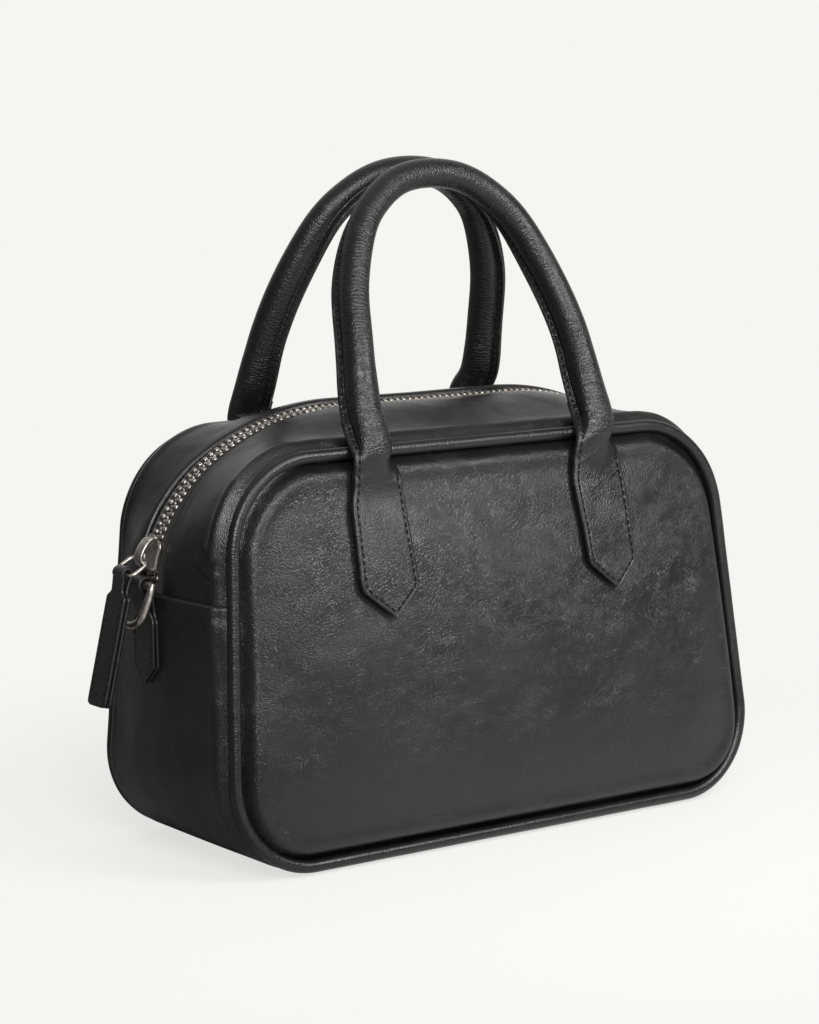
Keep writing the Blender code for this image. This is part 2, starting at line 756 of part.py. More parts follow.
def make_slider(material, parent):
    """A plate over the teeth with a wall down each side, and a bridge on its back."""
    top = SLIDER_PLATE + GAP - CHAIN_DEPTH
    under = GAP - CHAIN_DEPTH
    foot = -LEATHER + GAP
    steps = 4
    rings = []
    for step in range(steps + 1):
        share = step / steps
        along = SLIDER_LENGTH * (share - 0.5)
        half = lerp(SLIDER_TAIL_WIDTH, SLIDER_HEAD_WIDTH, smooth(share)) / 2
        wall = half - SLIDER_WALL
        profile = ((-half, foot), (-half, under), (-wall, top), (wall, top), (half, under), (half, foot),
                   (wall, foot), (wall, under), (-wall, under), (-wall, foot))
        rings.append([slider_point(along, y, level) for y, level in profile])
    body = add_object("zip_slider", ring_solid(rings), material, parent)
    half_length = BRIDGE_LENGTH / 2
    base = bridge_base()
    outline_steps = 6
    outer = []
    inner = []
    for step in range(outline_steps + 1):
        turn = math.pi * step / outline_steps
        along = -math.cos(turn) * half_length
        rise = math.sin(turn)
        inside = -math.cos(turn) * (half_length - BRIDGE_THICKNESS)
        over = base + rise * BRIDGE_RISE
        under = base + rise * (BRIDGE_RISE - BRIDGE_THICKNESS)
        outer.append([slider_point(along, side * BRIDGE_WIDTH / 2, over) for side in (-1, 1)])
        inner.append([slider_point(inside, side * BRIDGE_WIDTH / 2, under) for side in (-1, 1)])
    bridge = add_object("bridge_guide", sheet_solid(outer, inner), material, parent)
    bridge.hide_render = True
    bridge.display_type = "WIRE"
    union = body.modifiers.new("bridge", "BOOLEAN")
    union.operation = "UNION"
    union.object = bridge
    return body


def bridge_base():
    """Level at which the bridge is rooted in the slider's plate."""
    return GAP - CHAIN_DEPTH + SLIDER_PLATE / 2


def bridge_eye():
    """Middle of the slider's eye, where the ring's near strand lies."""
    inside = bridge_base() + BRIDGE_RISE - BRIDGE_THICKNESS
    return slider_point(0, 0, inside - RING_WIRE_RADIUS - WIRE_GAP)


def rounded_loop(centre, long_way, wide_way, length, width, radius, steps):
    """Points of a long ring with round corners."""
    points = []
    for long_side, wide_side, start in ((1, -1, -0.5), (1, 1, 0), (-1, 1, 0.5), (-1, -1, 1)):
        corner = (centre + long_way * long_side * (length / 2 - radius)
                  + wide_way * wide_side * (width / 2 - radius))
        for step in range(steps + 1):
            turn = math.pi * (start + step / steps / 2)
            points.append(corner + (long_way * math.cos(turn) + wide_way * math.sin(turn)) * radius)
    return points


def ring_way():
    """Direction in which the pull ring stands out: outwards and down."""
    return Vector((-math.cos(RING_DROP), 0, -math.sin(RING_DROP)))


def ring_length_inside():
    return RING_LENGTH - 2 * RING_WIRE_RADIUS


def make_pull_ring(material, parent):
    eye = bridge_eye()
    centre = eye + ring_way() * ring_length_inside() / 2
    points = rounded_loop(centre, ring_way(), Vector((0, 1, 0)), ring_length_inside(),
                          RING_WIDTH - 2 * RING_WIRE_RADIUS, RING_CORNER_RADIUS, 3)
    flat = ring_way().cross(Vector((0, 1, 0)))
    return add_object("pull_ring", tube_solid(points, RING_WIRE_RADIUS, 6, True, flat), material, parent)


def puller_eye():
    return bridge_eye() + ring_way() * ring_length_inside()


def hairpin(eye, body, out, radius, leather):
    """Middle line of a strap folded round a wire: (point, outward direction) from one end to the other.

    body runs from the strap's free end to its neck, midway between the two layers.
    """
    loop = radius + leather / 2
    half = leather / 2 + GAP / 2
    down = (body[-1] - eye).normalized()
    across = (out - down * out.dot(down)).normalized()
    points = [(point + out * half, out) for point in body]
    steps = 10
    for step in range(steps + 1):
        turn = lerp(-LOOP_OPENING, math.pi + LOOP_OPENING, step / steps)
        way = across * math.cos(turn) - down * math.sin(turn)
        points.append((eye + way * loop, way))
    points += [(point - out * half, -out) for point in reversed(body)]
    return points


def folded_strap(line, widths, wide_way, leather):
    outer = []
    inner = []
    for (point, way), width in zip(line, widths):
        outer.append([point + way * leather / 2 + wide_way * side * width / 2 for side in (-1, 1)])
        inner.append([point - way * leather / 2 + wide_way * side * width / 2 for side in (-1, 1)])
    return sheet_solid(outer, inner)


def strap_widths(line, full, loop, point_share):
    """Width at each row: pointed ends, full body, narrower loop."""
    body = (full * point_share, full, full, loop)
    middle = [loop] * (len(line) - 2 * len(body))
    return [*body, *middle, *reversed(body)]


def make_puller(material, parent):
    eye = puller_eye()
    down = Vector((-math.sin(PULLER_LEAN), 0, -math.cos(PULLER_LEAN)))
    out = Vector((-math.cos(PULLER_LEAN), 0, math.sin(PULLER_LEAN)))
    radius = RING_WIRE_RADIUS + WIRE_GAP
    neck = PULLER_NECK_SHARE * (radius + PULLER_LEATHER)
    body = [eye + down * lerp(neck, PULLER_LENGTH, share) for share in PULLER_ROW_SHARES]
    line = hairpin(eye, body, out, radius, PULLER_LEATHER)
    widths = strap_widths(line, PULLER_WIDTH, PULLER_LOOP_WIDTH, PULLER_END_SHARE)
    strap = folded_strap(line, widths, Vector((0, 1, 0)), PULLER_LEATHER)
    return add_object("zip_puller", strap, material, parent)


# Side straps and rings
def side_face_x(side, z, out):
    """X of the gusset's outer face in the middle of a side, moved out."""
    edge = panel_half_width(z) + SIDE_BULGE
    return side * (edge + out)


def strap_thickness():
    return 2 * STRAP_LEATHER + GAP


def side_ring_axis(side):
    z = SEAM_HEIGHT + SIDE_RING_AXIS_RISE
    return Vector((side_face_x(side, z, SIDE_RING_AXIS_OUT), zip_middle_y(Vector((0, 0, z))), z))


def make_side_strap(name, side, material):
    """A strap sewn flat to the side up to its neck, then leaning out to the loop that holds the ring."""
    eye = side_ring_axis(side)
    tip = SEAM_HEIGHT - STRAP_LENGTH
    neck = SEAM_HEIGHT - STRAP_NECK_DROP
    heights = (tip, tip + STRAP_POINT, lerp(tip, neck, STRAP_MIDDLE_SHARE), neck)
    body = [Vector((side_face_x(side, z, GAP + strap_thickness() / 2), eye.y, z)) for z in heights]
    line = hairpin(eye, body, Vector((side, 0, 0)), SIDE_RING_WIRE_RADIUS + WIRE_GAP, STRAP_LEATHER)
    widths = strap_widths(line, STRAP_WIDTH, STRAP_LOOP_WIDTH, STRAP_TIP_SHARE)
    return add_object(name, folded_strap(line, widths, Vector((0, 1, 0)), STRAP_LEATHER), material)


def make_side_ring(name, side, material, parent):
    """A D-shaped wire: its bar lies in the strap's loop and its bow hangs."""
    eye = side_ring_axis(side)
    wide = Vector((0, 1, 0))
    down = Vector((side * math.sin(SIDE_RING_LEAN), 0, -math.cos(SIDE_RING_LEAN)))
    half = SIDE_RING_WIDTH / 2 - SIDE_RING_WIRE_RADIUS
    drop = SIDE_RING_DROP - 2 * SIDE_RING_WIRE_RADIUS
    points = [eye - wide * half, eye - wide * half / 2, eye + wide * half / 2, eye + wide * half]
    steps = 8
    straight = drop - half
    for step in range(steps + 1):
        turn = math.pi * step / steps
        points.append(eye + down * (straight + half * math.sin(turn)) + wide * half * math.cos(turn))
    flat = wide.cross(down)
    return add_object(name, tube_solid(points, SIDE_RING_WIRE_RADIUS, 8, True, flat), material, parent)


# Handles
def handle_axis(side):
    z = HANDLE_AXIS_HEIGHT
    return Vector((0, panel_plane(side, LEG_SPACING / 2, z) + side * HANDLE_AXIS_OUT, z))


def handle_side_point(side, x, v):
    """A point of the leaning arch plane: v is the height along it."""
    lean = FRONT_ARCH_LEAN if side == FRONT else BACK_ARCH_LEAN
    base = FRONT_ARCH_Y if side == FRONT else BACK_ARCH_Y
    return Vector((x, base - side * v * math.sin(lean), ARCH_BASE + v * math.cos(lean)))


def arch_line(side):
    """Left half and right half of the roll's middle line above the legs' feet."""
    wide = 1 if side == FRONT else BACK_ARCH_WIDTH_SHARE
    half = [(LEG_SPACING / 2 * a * wide, ARCH_HEIGHT * b) for a, b in ARCH_SHARES]
    points = [Vector((-x, v)) for x, v in half] + [Vector((x, v)) for x, v in reversed(half[:-1])]
    return [handle_side_point(side, point.x, point.y) for point in points]


def smooth_line(points, steps):
    """A curve through points, as a Catmull-Rom line."""
    line = []
    for i in range(len(points) - 1):
        a = points[max(i - 1, 0)]
        b = points[i]
        c = points[i + 1]
        d = points[min(i + 2, len(points) - 1)]
        for step in range(steps):
            t = step / steps
            line.append(0.5 * (2 * b + (c - a) * t + (2 * a - 5 * b + 4 * c - d) * t * t
                               + (3 * b - a - 3 * c + d) * t ** 3))
    line.append(points[-1])
    return line


def leg_rows(side, hand):
    """Rows (point, half width, half thickness) of one leg, from the joint up; hand is -1 left, 1 right."""
    rows = []
    x = hand * LEG_SPACING / 2
    for rise, out, wide, thick in zip(LEG_RISES, LEG_OUTS, LEG_HALF_WIDTHS, LEG_HALF_THICKNESSES):
        z = HANDLE_AXIS_HEIGHT + rise
        rows.append((Vector((x, panel_plane(side, x, z) + side * out, z)), wide, thick))
    z = HANDLE_AXIS_HEIGHT + LEG_TOP_RISE
    out = FRONT_LEG_TOP_OUT if side == FRONT else BACK_LEG_TOP_OUT
    top = Vector((x, panel_plane(side, x, z) + side * out, z))
    rows.append((top, LEG_TOP_HALF_WIDTH, LEG_TOP_HALF_THICKNESS))
    return rows


def roll_rows(side):
    """All rows of one handle's roll, from its left foot over the arch to its right foot."""
    left = leg_rows(side, -1)
    right = leg_rows(side, 1)
    arch = smooth_line(arch_line(side)[1:-1], 2)
    middle = [(point, ROLL_RADIUS, ROLL_RADIUS) for point in arch]
    return left + middle + list(reversed(right))


def roll_frame(rows, index, side, twist):
    """Directions across the roll and towards its flange at a row.

    The twist turns the flange of the front roll up and that of the back roll down, so they pass each other.
    """
    before = rows[max(index - 1, 0)][0]
    after = rows[min(index + 1, len(rows) - 1)][0]
    along = (after - before).normalized()
    lean = FRONT_ARCH_LEAN if side == FRONT else BACK_ARCH_LEAN
    inward = Vector((0, -side * math.cos(lean), -math.sin(lean)))
    across = inward.cross(along).normalized()
    inward = along.cross(across).normalized()
    flange_way = inward * math.cos(twist) - across * math.sin(twist)
    return across * math.cos(twist) + inward * math.sin(twist), flange_way


def wrapped_profile(half_width, half_thickness, flange):
    """Leather wrapped into a roll, as (across, inward) points: open between the flange's halves."""
    steps = 8
    split = FLANGE_SPLIT / 2
    leaf = FLANGE_THICKNESS / 2
    inner_width = half_width - ROLL_LEATHER
    inner_thickness = max(half_thickness - ROLL_LEATHER, GAP)
    start = math.asin(min(leaf / half_width, 1))
    outer = []
    for step in range(steps + 1):
        turn = lerp(start, math.tau - start, step / steps)
        outer.append((half_width * math.sin(turn), half_thickness * math.cos(turn)))
    start = math.asin(min(split / inner_width, 1))
    inner = []
    for step in range(steps + 1):
        turn = lerp(start, math.tau - start, step / steps)
        inner.append((inner_width * math.sin(turn), inner_thickness * math.cos(turn)))
    tip = half_thickness + flange
    return [(split, tip), (leaf, tip), *outer, (-leaf, tip), (-split, tip), *reversed(inner)]


def make_roll(name, side, material, parent):
    rows = roll_rows(side)
    foot = len(leg_rows(side, -1))
    rings = []
    for i, (point, wide, thick) in enumerate(rows):
        on_roll = foot <= i < len(rows) - foot
        across, inward = roll_frame(rows, i, side, FLANGE_TWIST if on_roll else 0)
        flange = FLANGE_LENGTH if on_roll else GAP
        profile = wrapped_profile(wide, thick, flange)
        rings.append([point + across * a + inward * b for a, b in profile])
    return add_object(name, ring_solid(rings), material, parent)


def make_core(name, side, material, parent):
    """The cord inside a roll, from foot to foot."""
    rows = roll_rows(side)
    radius = ROLL_RADIUS - ROLL_LEATHER - CORE_GAP
    rings = []
    for i, (point, wide, thick) in enumerate(rows):
        if wide != ROLL_RADIUS:
            continue
        across, inward = roll_frame(rows, i, side, FLANGE_TWIST)
        rings.append([point + (across * math.cos(turn) + inward * math.sin(turn)) * radius
                      for turn in (math.tau * j / 8 for j in range(8))])
    return add_object(name, ring_solid(rings[1:-1]), material, parent)


def make_handle_tab(name, side, hand, material):
    """A pointed flat end sewn to the panel, up to just under the roll's joint."""
    top = HANDLE_AXIS_HEIGHT - HANDLE_END_RADIUS - GAP
    tip = HANDLE_AXIS_HEIGHT - HANDLE_TAB_LENGTH
    shoulder = tip + HANDLE_TAB_POINT
    x = hand * LEG_SPACING / 2
    rows = [(tip, HANDLE_TAB_TIP_SHARE)]
    for rise_share, width_share in HANDLE_TAB_BODY_SHARES:
        rows.append((lerp(shoulder, top, rise_share), width_share))
    rows.append((top, HANDLE_NECK_WIDTH / HANDLE_TAB_WIDTH))
    face = LEATHER / 2 + GAP + TAB_SLACK
    outer = []
    inner = []
    for z, share in rows:
        half = HANDLE_TAB_WIDTH / 2 * share
        places = (x - half, x, x + half)
        inner.append([panel_face(side, p, z, face) for p in places])
        outer.append([panel_face(side, p, z, face + HANDLE_TAB_THICKNESS) for p in places])
    return add_object(name, sheet_solid(outer, inner), material)


def build():
    clear_scene()
    leather = make_material("grained leather", (0.022, 0.023, 0.026), 0.45)
    smooth_leather = make_material("strap leather", (0.020, 0.021, 0.024), 0.4)
    cord = make_material("handle cord", (0.35, 0.32, 0.27), 0.9)
    fabric = make_material("lining fabric", (0.05, 0.05, 0.055), 0.9)
    tape = make_material("zip tape", (0.015, 0.015, 0.017), 0.95)
    board = make_material("base board", (0.12, 0.10, 0.08), 0.9)
    metal = make_material("dark nickel", (0.32, 0.31, 0.29), 0.28, 1.0)

    for word, side in (("front", FRONT), ("back", BACK)):
        make_panel(f"{word}_panel", side, leather)
        make_piping(f"{word}_piping", side, smooth_leather)
        make_zip_strip(f"{word}_zip_strip", side, leather)
        make_panel_lining(f"{word}_lining", side, fabric)
        make_zip_tape(f"zip_tape_{word}", side, tape)
        make_teeth(f"zip_teeth_{word}", side, metal)
        pivot = add_pivot(f"{word}_handle_pivot", handle_axis(side))
        make_roll(f"{word}_handle_roll", side, smooth_leather, pivot)
        make_core(f"{word}_handle_core", side, cord, pivot)
        for hand_word, hand in (("left", -1), ("right", 1)):
            make_handle_tab(f"{word}_handle_tab_{hand_word}", side, hand, smooth_leather)
        across = side * (CHAIN_WIDTH / 2 - CORD_WIDTH / 2 - GAP)
        make_stop(f"zip_top_stop_{word}", CHAIN_END_GAP - GAP, STOP_LENGTH, across, CORD_WIDTH, metal)
    make_stop("zip_bottom_stop", ZIP_LENGTH - CHAIN_END_GAP - GAP, STOP_LENGTH, 0, CHAIN_WIDTH, metal)

    make_lower_gusset(leather)
    make_base_patch(leather)
    make_base_board(board)
    make_gusset_lining(fabric)
    make_inner_pocket(fabric)

    slider_axis = add_pivot("slider_pivot", slider_pivot())
    make_slider(metal, slider_axis)
    ring_axis = add_pivot("pull_ring_pivot", bridge_eye())
    make_pull_ring(metal, ring_axis)
    puller_axis = add_pivot("puller_pivot", puller_eye())
    make_puller(smooth_leather, puller_axis)

    for word, side in (("left", -1), ("right", 1)):
        make_side_strap(f"side_strap_{word}", side, smooth_leather)
        pivot = add_pivot(f"side_ring_pivot_{word}", side_ring_axis(side))
        make_side_ring(f"side_ring_{word}", side, metal, pivot)


build()
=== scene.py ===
"""A small bowling bag in black waxed calf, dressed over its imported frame.

X is the bag's width with the zip's pull side at -X, the front faces -Y and Z is up. Sizes are in metres.
"""

import math

import bmesh
import bpy
from mathutils import Matrix, Vector, noise


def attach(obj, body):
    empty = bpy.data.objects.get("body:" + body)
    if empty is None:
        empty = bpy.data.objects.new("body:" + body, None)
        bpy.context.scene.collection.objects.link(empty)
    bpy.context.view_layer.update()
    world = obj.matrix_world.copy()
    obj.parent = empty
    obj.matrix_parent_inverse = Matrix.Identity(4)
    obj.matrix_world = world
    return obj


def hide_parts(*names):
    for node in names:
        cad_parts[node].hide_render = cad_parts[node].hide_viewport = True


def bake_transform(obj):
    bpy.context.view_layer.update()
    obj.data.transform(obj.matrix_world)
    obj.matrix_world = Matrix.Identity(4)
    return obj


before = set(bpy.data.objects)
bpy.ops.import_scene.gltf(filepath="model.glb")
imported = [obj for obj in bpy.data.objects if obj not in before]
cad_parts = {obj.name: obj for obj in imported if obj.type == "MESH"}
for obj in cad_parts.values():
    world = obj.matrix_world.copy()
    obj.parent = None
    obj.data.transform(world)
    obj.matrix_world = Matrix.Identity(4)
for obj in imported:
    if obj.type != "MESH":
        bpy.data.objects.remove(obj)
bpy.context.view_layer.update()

FRONT = -1
BACK = 1
SIDES = (("front", FRONT), ("back", BACK))

# The shell, on the middle line of the piping
BOTTOM_WIDTH = 0.260
TOP_WIDTH = 0.2374
HEIGHTS = {FRONT: 0.1541, BACK: 0.1557}
TOP_RADIUS = 0.0375
BOTTOM_RADIUS = 0.0333
DEPTH = 0.0941
# How far each panel leans to the middle per metre of height, and how far the back one bows outwards at its top
LEANS = {FRONT: 0.121, BACK: 0.0219}
BACK_BOW = 0.005
PIPING_BASE = 0.0037
PIPING_RADIUS = 0.0025
SEAM_HEIGHT = 0.103
SIDE_BULGE = 0.0079
BASE_DROP = 0.0018
RIDGE_HEIGHT = 0.0040
PANEL_BULGE = 0.0095
PANEL_BULGE_SHARES = ((0.0, 0.0), (0.06, 0.42), (0.2, 0.88), (0.35, 1.0), (0.5, 0.94),
                      (0.6, 0.83), (0.7, 0.66), (0.83, 0.38), (0.93, 0.14), (1.0, 0.0))
SIDE_TILT = math.atan2((BOTTOM_WIDTH - TOP_WIDTH) / 2, HEIGHTS[FRONT])

# Leather and cloth, folds and seams: thickness, radius of a folded edge, distance of an edge from its seam's line
SHELL_LEATHER = 0.0018
GUSSET_LEATHER = 0.0009
CLOTH = 0.0007
FOLD = 0.0010
SEAM_GAP = 0.0008
# Pitch, length and radius of the stitches
SEAM_STITCHES = (0.0030, 0.0021, 0.0003)
STRAP_STITCHES = (0.0027, 0.0019, 0.00026)
HANDLE_STITCHES = (0.0030, 0.0022, 0.0005)

# The zip's line
ZIP_SETBACK = 0.0025
ZIP_CORNER_RADIUS = 0.0598
ZIP_CORNER_TURN = math.radians(55)
ZIP_SHOULDER_RADIUS = 0.1124
TOOTH_PITCH = 0.0031
TEETH_START = 0.008
# By distance from the side seam along the zip: rise over its line, tilt to the front, half the gap between the lips
ZIP_LEVELS = ((0.0, 0.0), (0.010, 0.0014), (0.020, 0.0024), (0.030, 0.0018), (0.040, 0.0013), (0.067, 0.0010),
              (0.085, 0.0004), (0.105, -0.0001), (0.125, -0.0005), (0.160, -0.0007), (0.192, -0.0010))
ZIP_TILTS = ((0.0, 0.09), (0.05, 0.11), (0.09, 0.12), (0.125, 0.12), (0.192, 0.10))
ZIP_GAPS = ((0.0, 0.0074), (0.012, 0.0086), (0.030, 0.0085), (0.045, 0.0072), (0.062, 0.0064), (0.192, 0.0065))


def lerp(a, b, share):
    return a + (b - a) * share


def smooth(share):
    share = min(max(share, 0), 1)
    return share * share * (3 - 2 * share)


def hump(distance, width):
    return math.exp(-(distance / width) ** 2)


def curve_at(table, place):
    """Value of a table of (place, value) rows at a place, on a smooth curve through the rows."""
    place = min(max(place, table[0][0]), table[-1][0])
    index = 0
    while index < len(table) - 2 and place > table[index + 1][0]:
        index += 1
    (a, va), (b, vb) = table[index:index + 2]
    before = table[max(index - 1, 0)]
    after = table[min(index + 2, len(table) - 1)]
    start = (vb - before[1]) / (b - before[0])
    end = (after[1] - va) / (after[0] - a)
    t = (place - a) / (b - a)
    step = b - a
    return ((2 * t ** 3 - 3 * t ** 2 + 1) * va + (t ** 3 - 2 * t ** 2 + t) * step * start
            + (3 * t ** 2 - 2 * t ** 3) * vb + (t ** 3 - t ** 2) * step * end)


def smooth_line(points, steps):
    """A curve through points, with steps between each two."""
    line = []
    for i in range(len(points) - 1):
        a = points[max(i - 1, 0)]
        b = points[i]
        c = points[i + 1]
        d = points[min(i + 2, len(points) - 1)]
        for step in range(steps):
            t = step / steps
            line.append(0.5 * (2 * b + (c - a) * t + (2 * a - 5 * b + 4 * c - d) * t * t
                               + (3 * b - a - 3 * c + d) * t ** 3))
    line.append(points[-1])
    return line


# Camera
def place_camera():
    """The camera that was fitted to the bag's outline in the photograph."""
    camera = bpy.data.cameras.new("camera")
    camera.sensor_width = 36
    camera.lens = 101.953
    item = bpy.data.objects.new("camera", camera)
    item.location = (-0.70449697, -0.92899144, 0.30063309)
    aim = Vector((-0.014980466, 0, 0.127094248))
    item.rotation_euler = (aim - item.location).to_track_quat("-Z", "Y").to_euler()
    bpy.context.scene.collection.objects.link(item)
    bpy.context.scene.camera = item


place_camera()


# Materials
def linear(code):
    """Linear red, green, blue and alpha of an sRGB hex code."""
    values = [int(code[i:i + 2], 16) / 255 for i in (1, 3, 5)]
    return (*[v / 12.92 if v <= 0.04045 else ((v + 0.055) / 1.055) ** 2.4 for v in values], 1)


def set_inputs(tree, node, inputs):
    """Links each input to the socket given for it, or sets it to the value."""
    for key, value in inputs.items() if isinstance(inputs, dict) else enumerate(inputs):
        if isinstance(value, bpy.types.NodeSocket):
            tree.links.new(value, node.inputs[key])
        else:
            node.inputs[key].default_value = value


def add_node(tree, kind, inputs=(), output=0, stops=(), **settings):
    """An output of a new node, or the node itself where output is None.

    stops are those of a colour ramp: (place, hex colour or grey level).
    """
    node = tree.nodes.new("ShaderNode" + kind)
    for key, value in settings.items():
        setattr(node, key, value)
    set_inputs(tree, node, inputs)
    if stops:
        elements = node.color_ramp.elements
        while len(elements) < len(stops):
            elements.new(0.5)
        for element, (place, colour) in zip(elements, stops):
            element.position = place
            element.color = linear(colour) if isinstance(colour, str) else (colour, colour, colour, 1)
    return node if output is None else node.outputs[output]


def new_material(name):
    """A material, its nodes, its shader and the coordinates that its patterns read, in metres."""
    material = bpy.data.materials.new(name)
    material.use_nodes = True
    tree = material.node_tree
    return material, tree, tree.nodes["Principled BSDF"], add_node(tree, "TexCoord", output=None).outputs


def calf_leather(name, dark, light, roughness, crackle, creases, ribs=0.0, ribs_from=-1.0):
    """Waxed calf, drum-dyed black: glossy over a crackle of 1 mm pillows, with longer sharp creases.

    crackle and creases are their depths, ribs that of the cross wrinkles on a rolled piece's own UV map,
    which start at the height ribs_from.
    """
    material, tree, shader, spots = new_material(name)
    place, uv = spots["Object"], spots["UV"]
    drift = add_node(tree, "TexNoise", {"Vector": place, "Scale": 60, "Detail": 2}, "Color")
    bent = add_node(tree, "VectorMath", (drift, (0.014, 0.014, 0.014), place), operation="MULTIPLY_ADD")
    turned = add_node(tree, "Mapping", {"Vector": bent, "Rotation": (0, math.radians(35), 0),
                                        "Scale": (1150, 1150, 800)})
    cells = add_node(tree, "TexVoronoi", {"Vector": turned, "Scale": 1, "Randomness": 1}, "Distance",
                     feature="DISTANCE_TO_EDGE")
    pillows = add_node(tree, "ValToRGB", (cells,), stops=((0.0, 0.0), (0.12, 0.45), (0.28, 0.82), (0.6, 1.0)))
    patches = add_node(tree, "TexNoise", {"Vector": place, "Scale": 34, "Detail": 2})
    share = add_node(tree, "ValToRGB", (patches,), stops=((0.36, 0.6), (0.62, 1.0)))
    sharp = add_node(tree, "TexNoise", {"Vector": bent, "Scale": 380, "Detail": 3, "Roughness": 0.6},
                     noise_type="RIDGED_MULTIFRACTAL")
    height = add_node(tree, "Math", (pillows, crackle), operation="MULTIPLY")
    height = add_node(tree, "Math", (height, share), operation="MULTIPLY")
    height = add_node(tree, "Math", (sharp, creases, height), operation="MULTIPLY_ADD")
    if ribs:
        arcs = add_node(tree, "TexNoise", {"Vector": uv, "Scale": 330, "Detail": 1}, "Color")
        arcs = add_node(tree, "VectorMath", (arcs, (0, 0.0042, 0), uv), operation="MULTIPLY_ADD")
        lengthwise = add_node(tree, "Mapping", {"Vector": arcs, "Scale": (720, 720, 1)})
        waves = add_node(tree, "TexWave", {"Vector": lengthwise, "Scale": 0.314, "Distortion": 2, "Detail": 2}, "Fac",
                         bands_direction="Y")
        level = add_node(tree, "SeparateXYZ", (place,), "Z")
        rolled = add_node(tree, "Math", (level, ribs_from), operation="SUBTRACT")
        rolled = add_node(tree, "Math", (rolled, 100.0), operation="MULTIPLY")
        rolled = add_node(tree, "Math", (rolled, 0.0), operation="MAXIMUM")
        rolled = add_node(tree, "Math", (rolled, ribs), operation="MINIMUM")
        rolled = add_node(tree, "Math", (waves, rolled), operation="MULTIPLY")
        height = add_node(tree, "Math", (rolled, share, height), operation="MULTIPLY_ADD")
    cloud = add_node(tree, "TexNoise", {"Vector": place, "Scale": 28, "Detail": 4})
    tone = add_node(tree, "Math", (cloud, 0.8), operation="MULTIPLY")
    tone = add_node(tree, "Math", (pillows, 0.35, tone), operation="MULTIPLY_ADD")
    set_inputs(tree, shader, {
        "Base Color": add_node(tree, "ValToRGB", (tone,), stops=((0.3, dark), (0.9, light))),
        "Roughness": add_node(tree, "ValToRGB", (cloud,), stops=((0.3, roughness - 0.05), (0.7, roughness + 0.06))),
        "Normal": add_node(tree, "Bump", {"Height": height, "Strength": 1.0, "Distance": 1.0})})
    return material


def antique_nickel():
    """Cast and tumbled antique nickel: warm grey metal, lighter or browner in random patches, with fine scratches."""
    material, tree, shader, spots = new_material("antique nickel")
    patina = add_node(tree, "TexNoise", {"Vector": spots["Object"], "Scale": 420, "Detail": 4})
    scratches = add_node(tree, "TexNoise", {"Vector": spots["Object"], "Scale": 2400, "Detail": 2})
    set_inputs(tree, shader, {
        "Base Color": add_node(tree, "ValToRGB", (patina,), stops=((0.35, "#9a928a"), (0.65, "#d2ccc5"))),
        "Roughness": add_node(tree, "ValToRGB", (patina,), stops=((0.3, 0.42), (0.7, 0.30))),
        "Metallic": 1,
        "Normal": add_node(tree, "Bump", {"Height": scratches, "Strength": 0.25, "Distance": 0.00005})})
    return material


def woven(name, dark, light, pitch, depth):
    """Woven cloth on the piece's own UV map: matte, with a thread pattern of the given pitch."""
    material, tree, shader, spots = new_material(name)
    turned = add_node(tree, "Mapping", {"Vector": spots["UV"], "Rotation": (0, 0, math.radians(45)),
                                        "Scale": (1 / pitch, 1 / pitch, 1)})
    threads = [add_node(tree, "TexWave", {"Vector": turned, "Scale": 0.31, "Distortion": 0.6, "Detail": 1}, "Fac",
                        bands_direction=way) for way in "XY"]
    height = add_node(tree, "Math", threads, operation="MULTIPLY")
    set_inputs(tree, shader, {
        "Base Color": add_node(tree, "ValToRGB", (height,), stops=((0.1, dark), (0.8, light))),
        "Roughness": 0.9,
        "Sheen Weight": 0.15,
        "Normal": add_node(tree, "Bump", {"Height": height, "Strength": 0.8, "Distance": depth})})
    return material


def bonded_thread():
    """Bonded nylon sewing thread, dyed black and waxed dull: darker than the leather round it."""
    material, tree, shader, spots = new_material("bonded nylon thread")
    strands = add_node(tree, "TexNoise", {"Vector": spots["Object"], "Scale": 3000, "Detail": 1})
    set_inputs(tree, shader, {
        "Base Color": add_node(tree, "ValToRGB", (strands,), stops=((0.3, "#060606"), (0.7, "#121211"))),
        "Roughness": 0.8,
        "Specular IOR Level": 0.3})
    return material


def fibre_board():
    """Pressed fibre board: matte brown with short fibres."""
    material, tree, shader, spots = new_material("pressed fibre board")
    stretched = add_node(tree, "Mapping", {"Vector": spots["Object"], "Scale": (180, 700, 400)})
    fibres = add_node(tree, "TexNoise", {"Vector": stretched, "Scale": 1, "Detail": 4})
    set_inputs(tree, shader, {
        "Base Color": add_node(tree, "ValToRGB", (fibres,), stops=((0.3, "#3b3128"), (0.7, "#6a5a48"))),
        "Roughness": 0.9,
        "Normal": add_node(tree, "Bump", {"Height": fibres, "Strength": 0.4, "Distance": 0.0002})})
    return material


SHELL_CALF = calf_leather("waxed calf, shell", "#100f0f", "#1d1c1b", 0.35, 0.0001, 0.00007)
GUSSET_CALF = calf_leather("waxed calf, gusset", "#0e0e0e", "#1a1918", 0.35, 0.00006, 0.00005)
STRAP_CALF = calf_leather("waxed calf, straps", "#11100f", "#1c1b1a", 0.36, 0.00005, 0.00003)
PIPING_CALF = calf_leather("waxed calf, piping", "#0f0e0e", "#1b1a19", 0.34, 0.00003, 0.00003, ribs=0.00005)
HANDLE_CALF = calf_leather("waxed calf, handles", "#0f0e0e", "#1b1a19", 0.33, 0.00008, 0.00004, ribs=0.00009,
                           ribs_from=0.158)
NICKEL = antique_nickel()
THREAD = bonded_thread()
TAPE = woven("woven polyester tape", "#0f0f0f", "#242423", 0.0006, 0.00012)
LINING = woven("cotton twill lining", "#26262a", "#3c3c40", 0.0007, 0.0001)
CORD = woven("twisted cotton cord", "#7d7463", "#b5ab97", 0.0009, 0.0002)
BOARD = fibre_board()


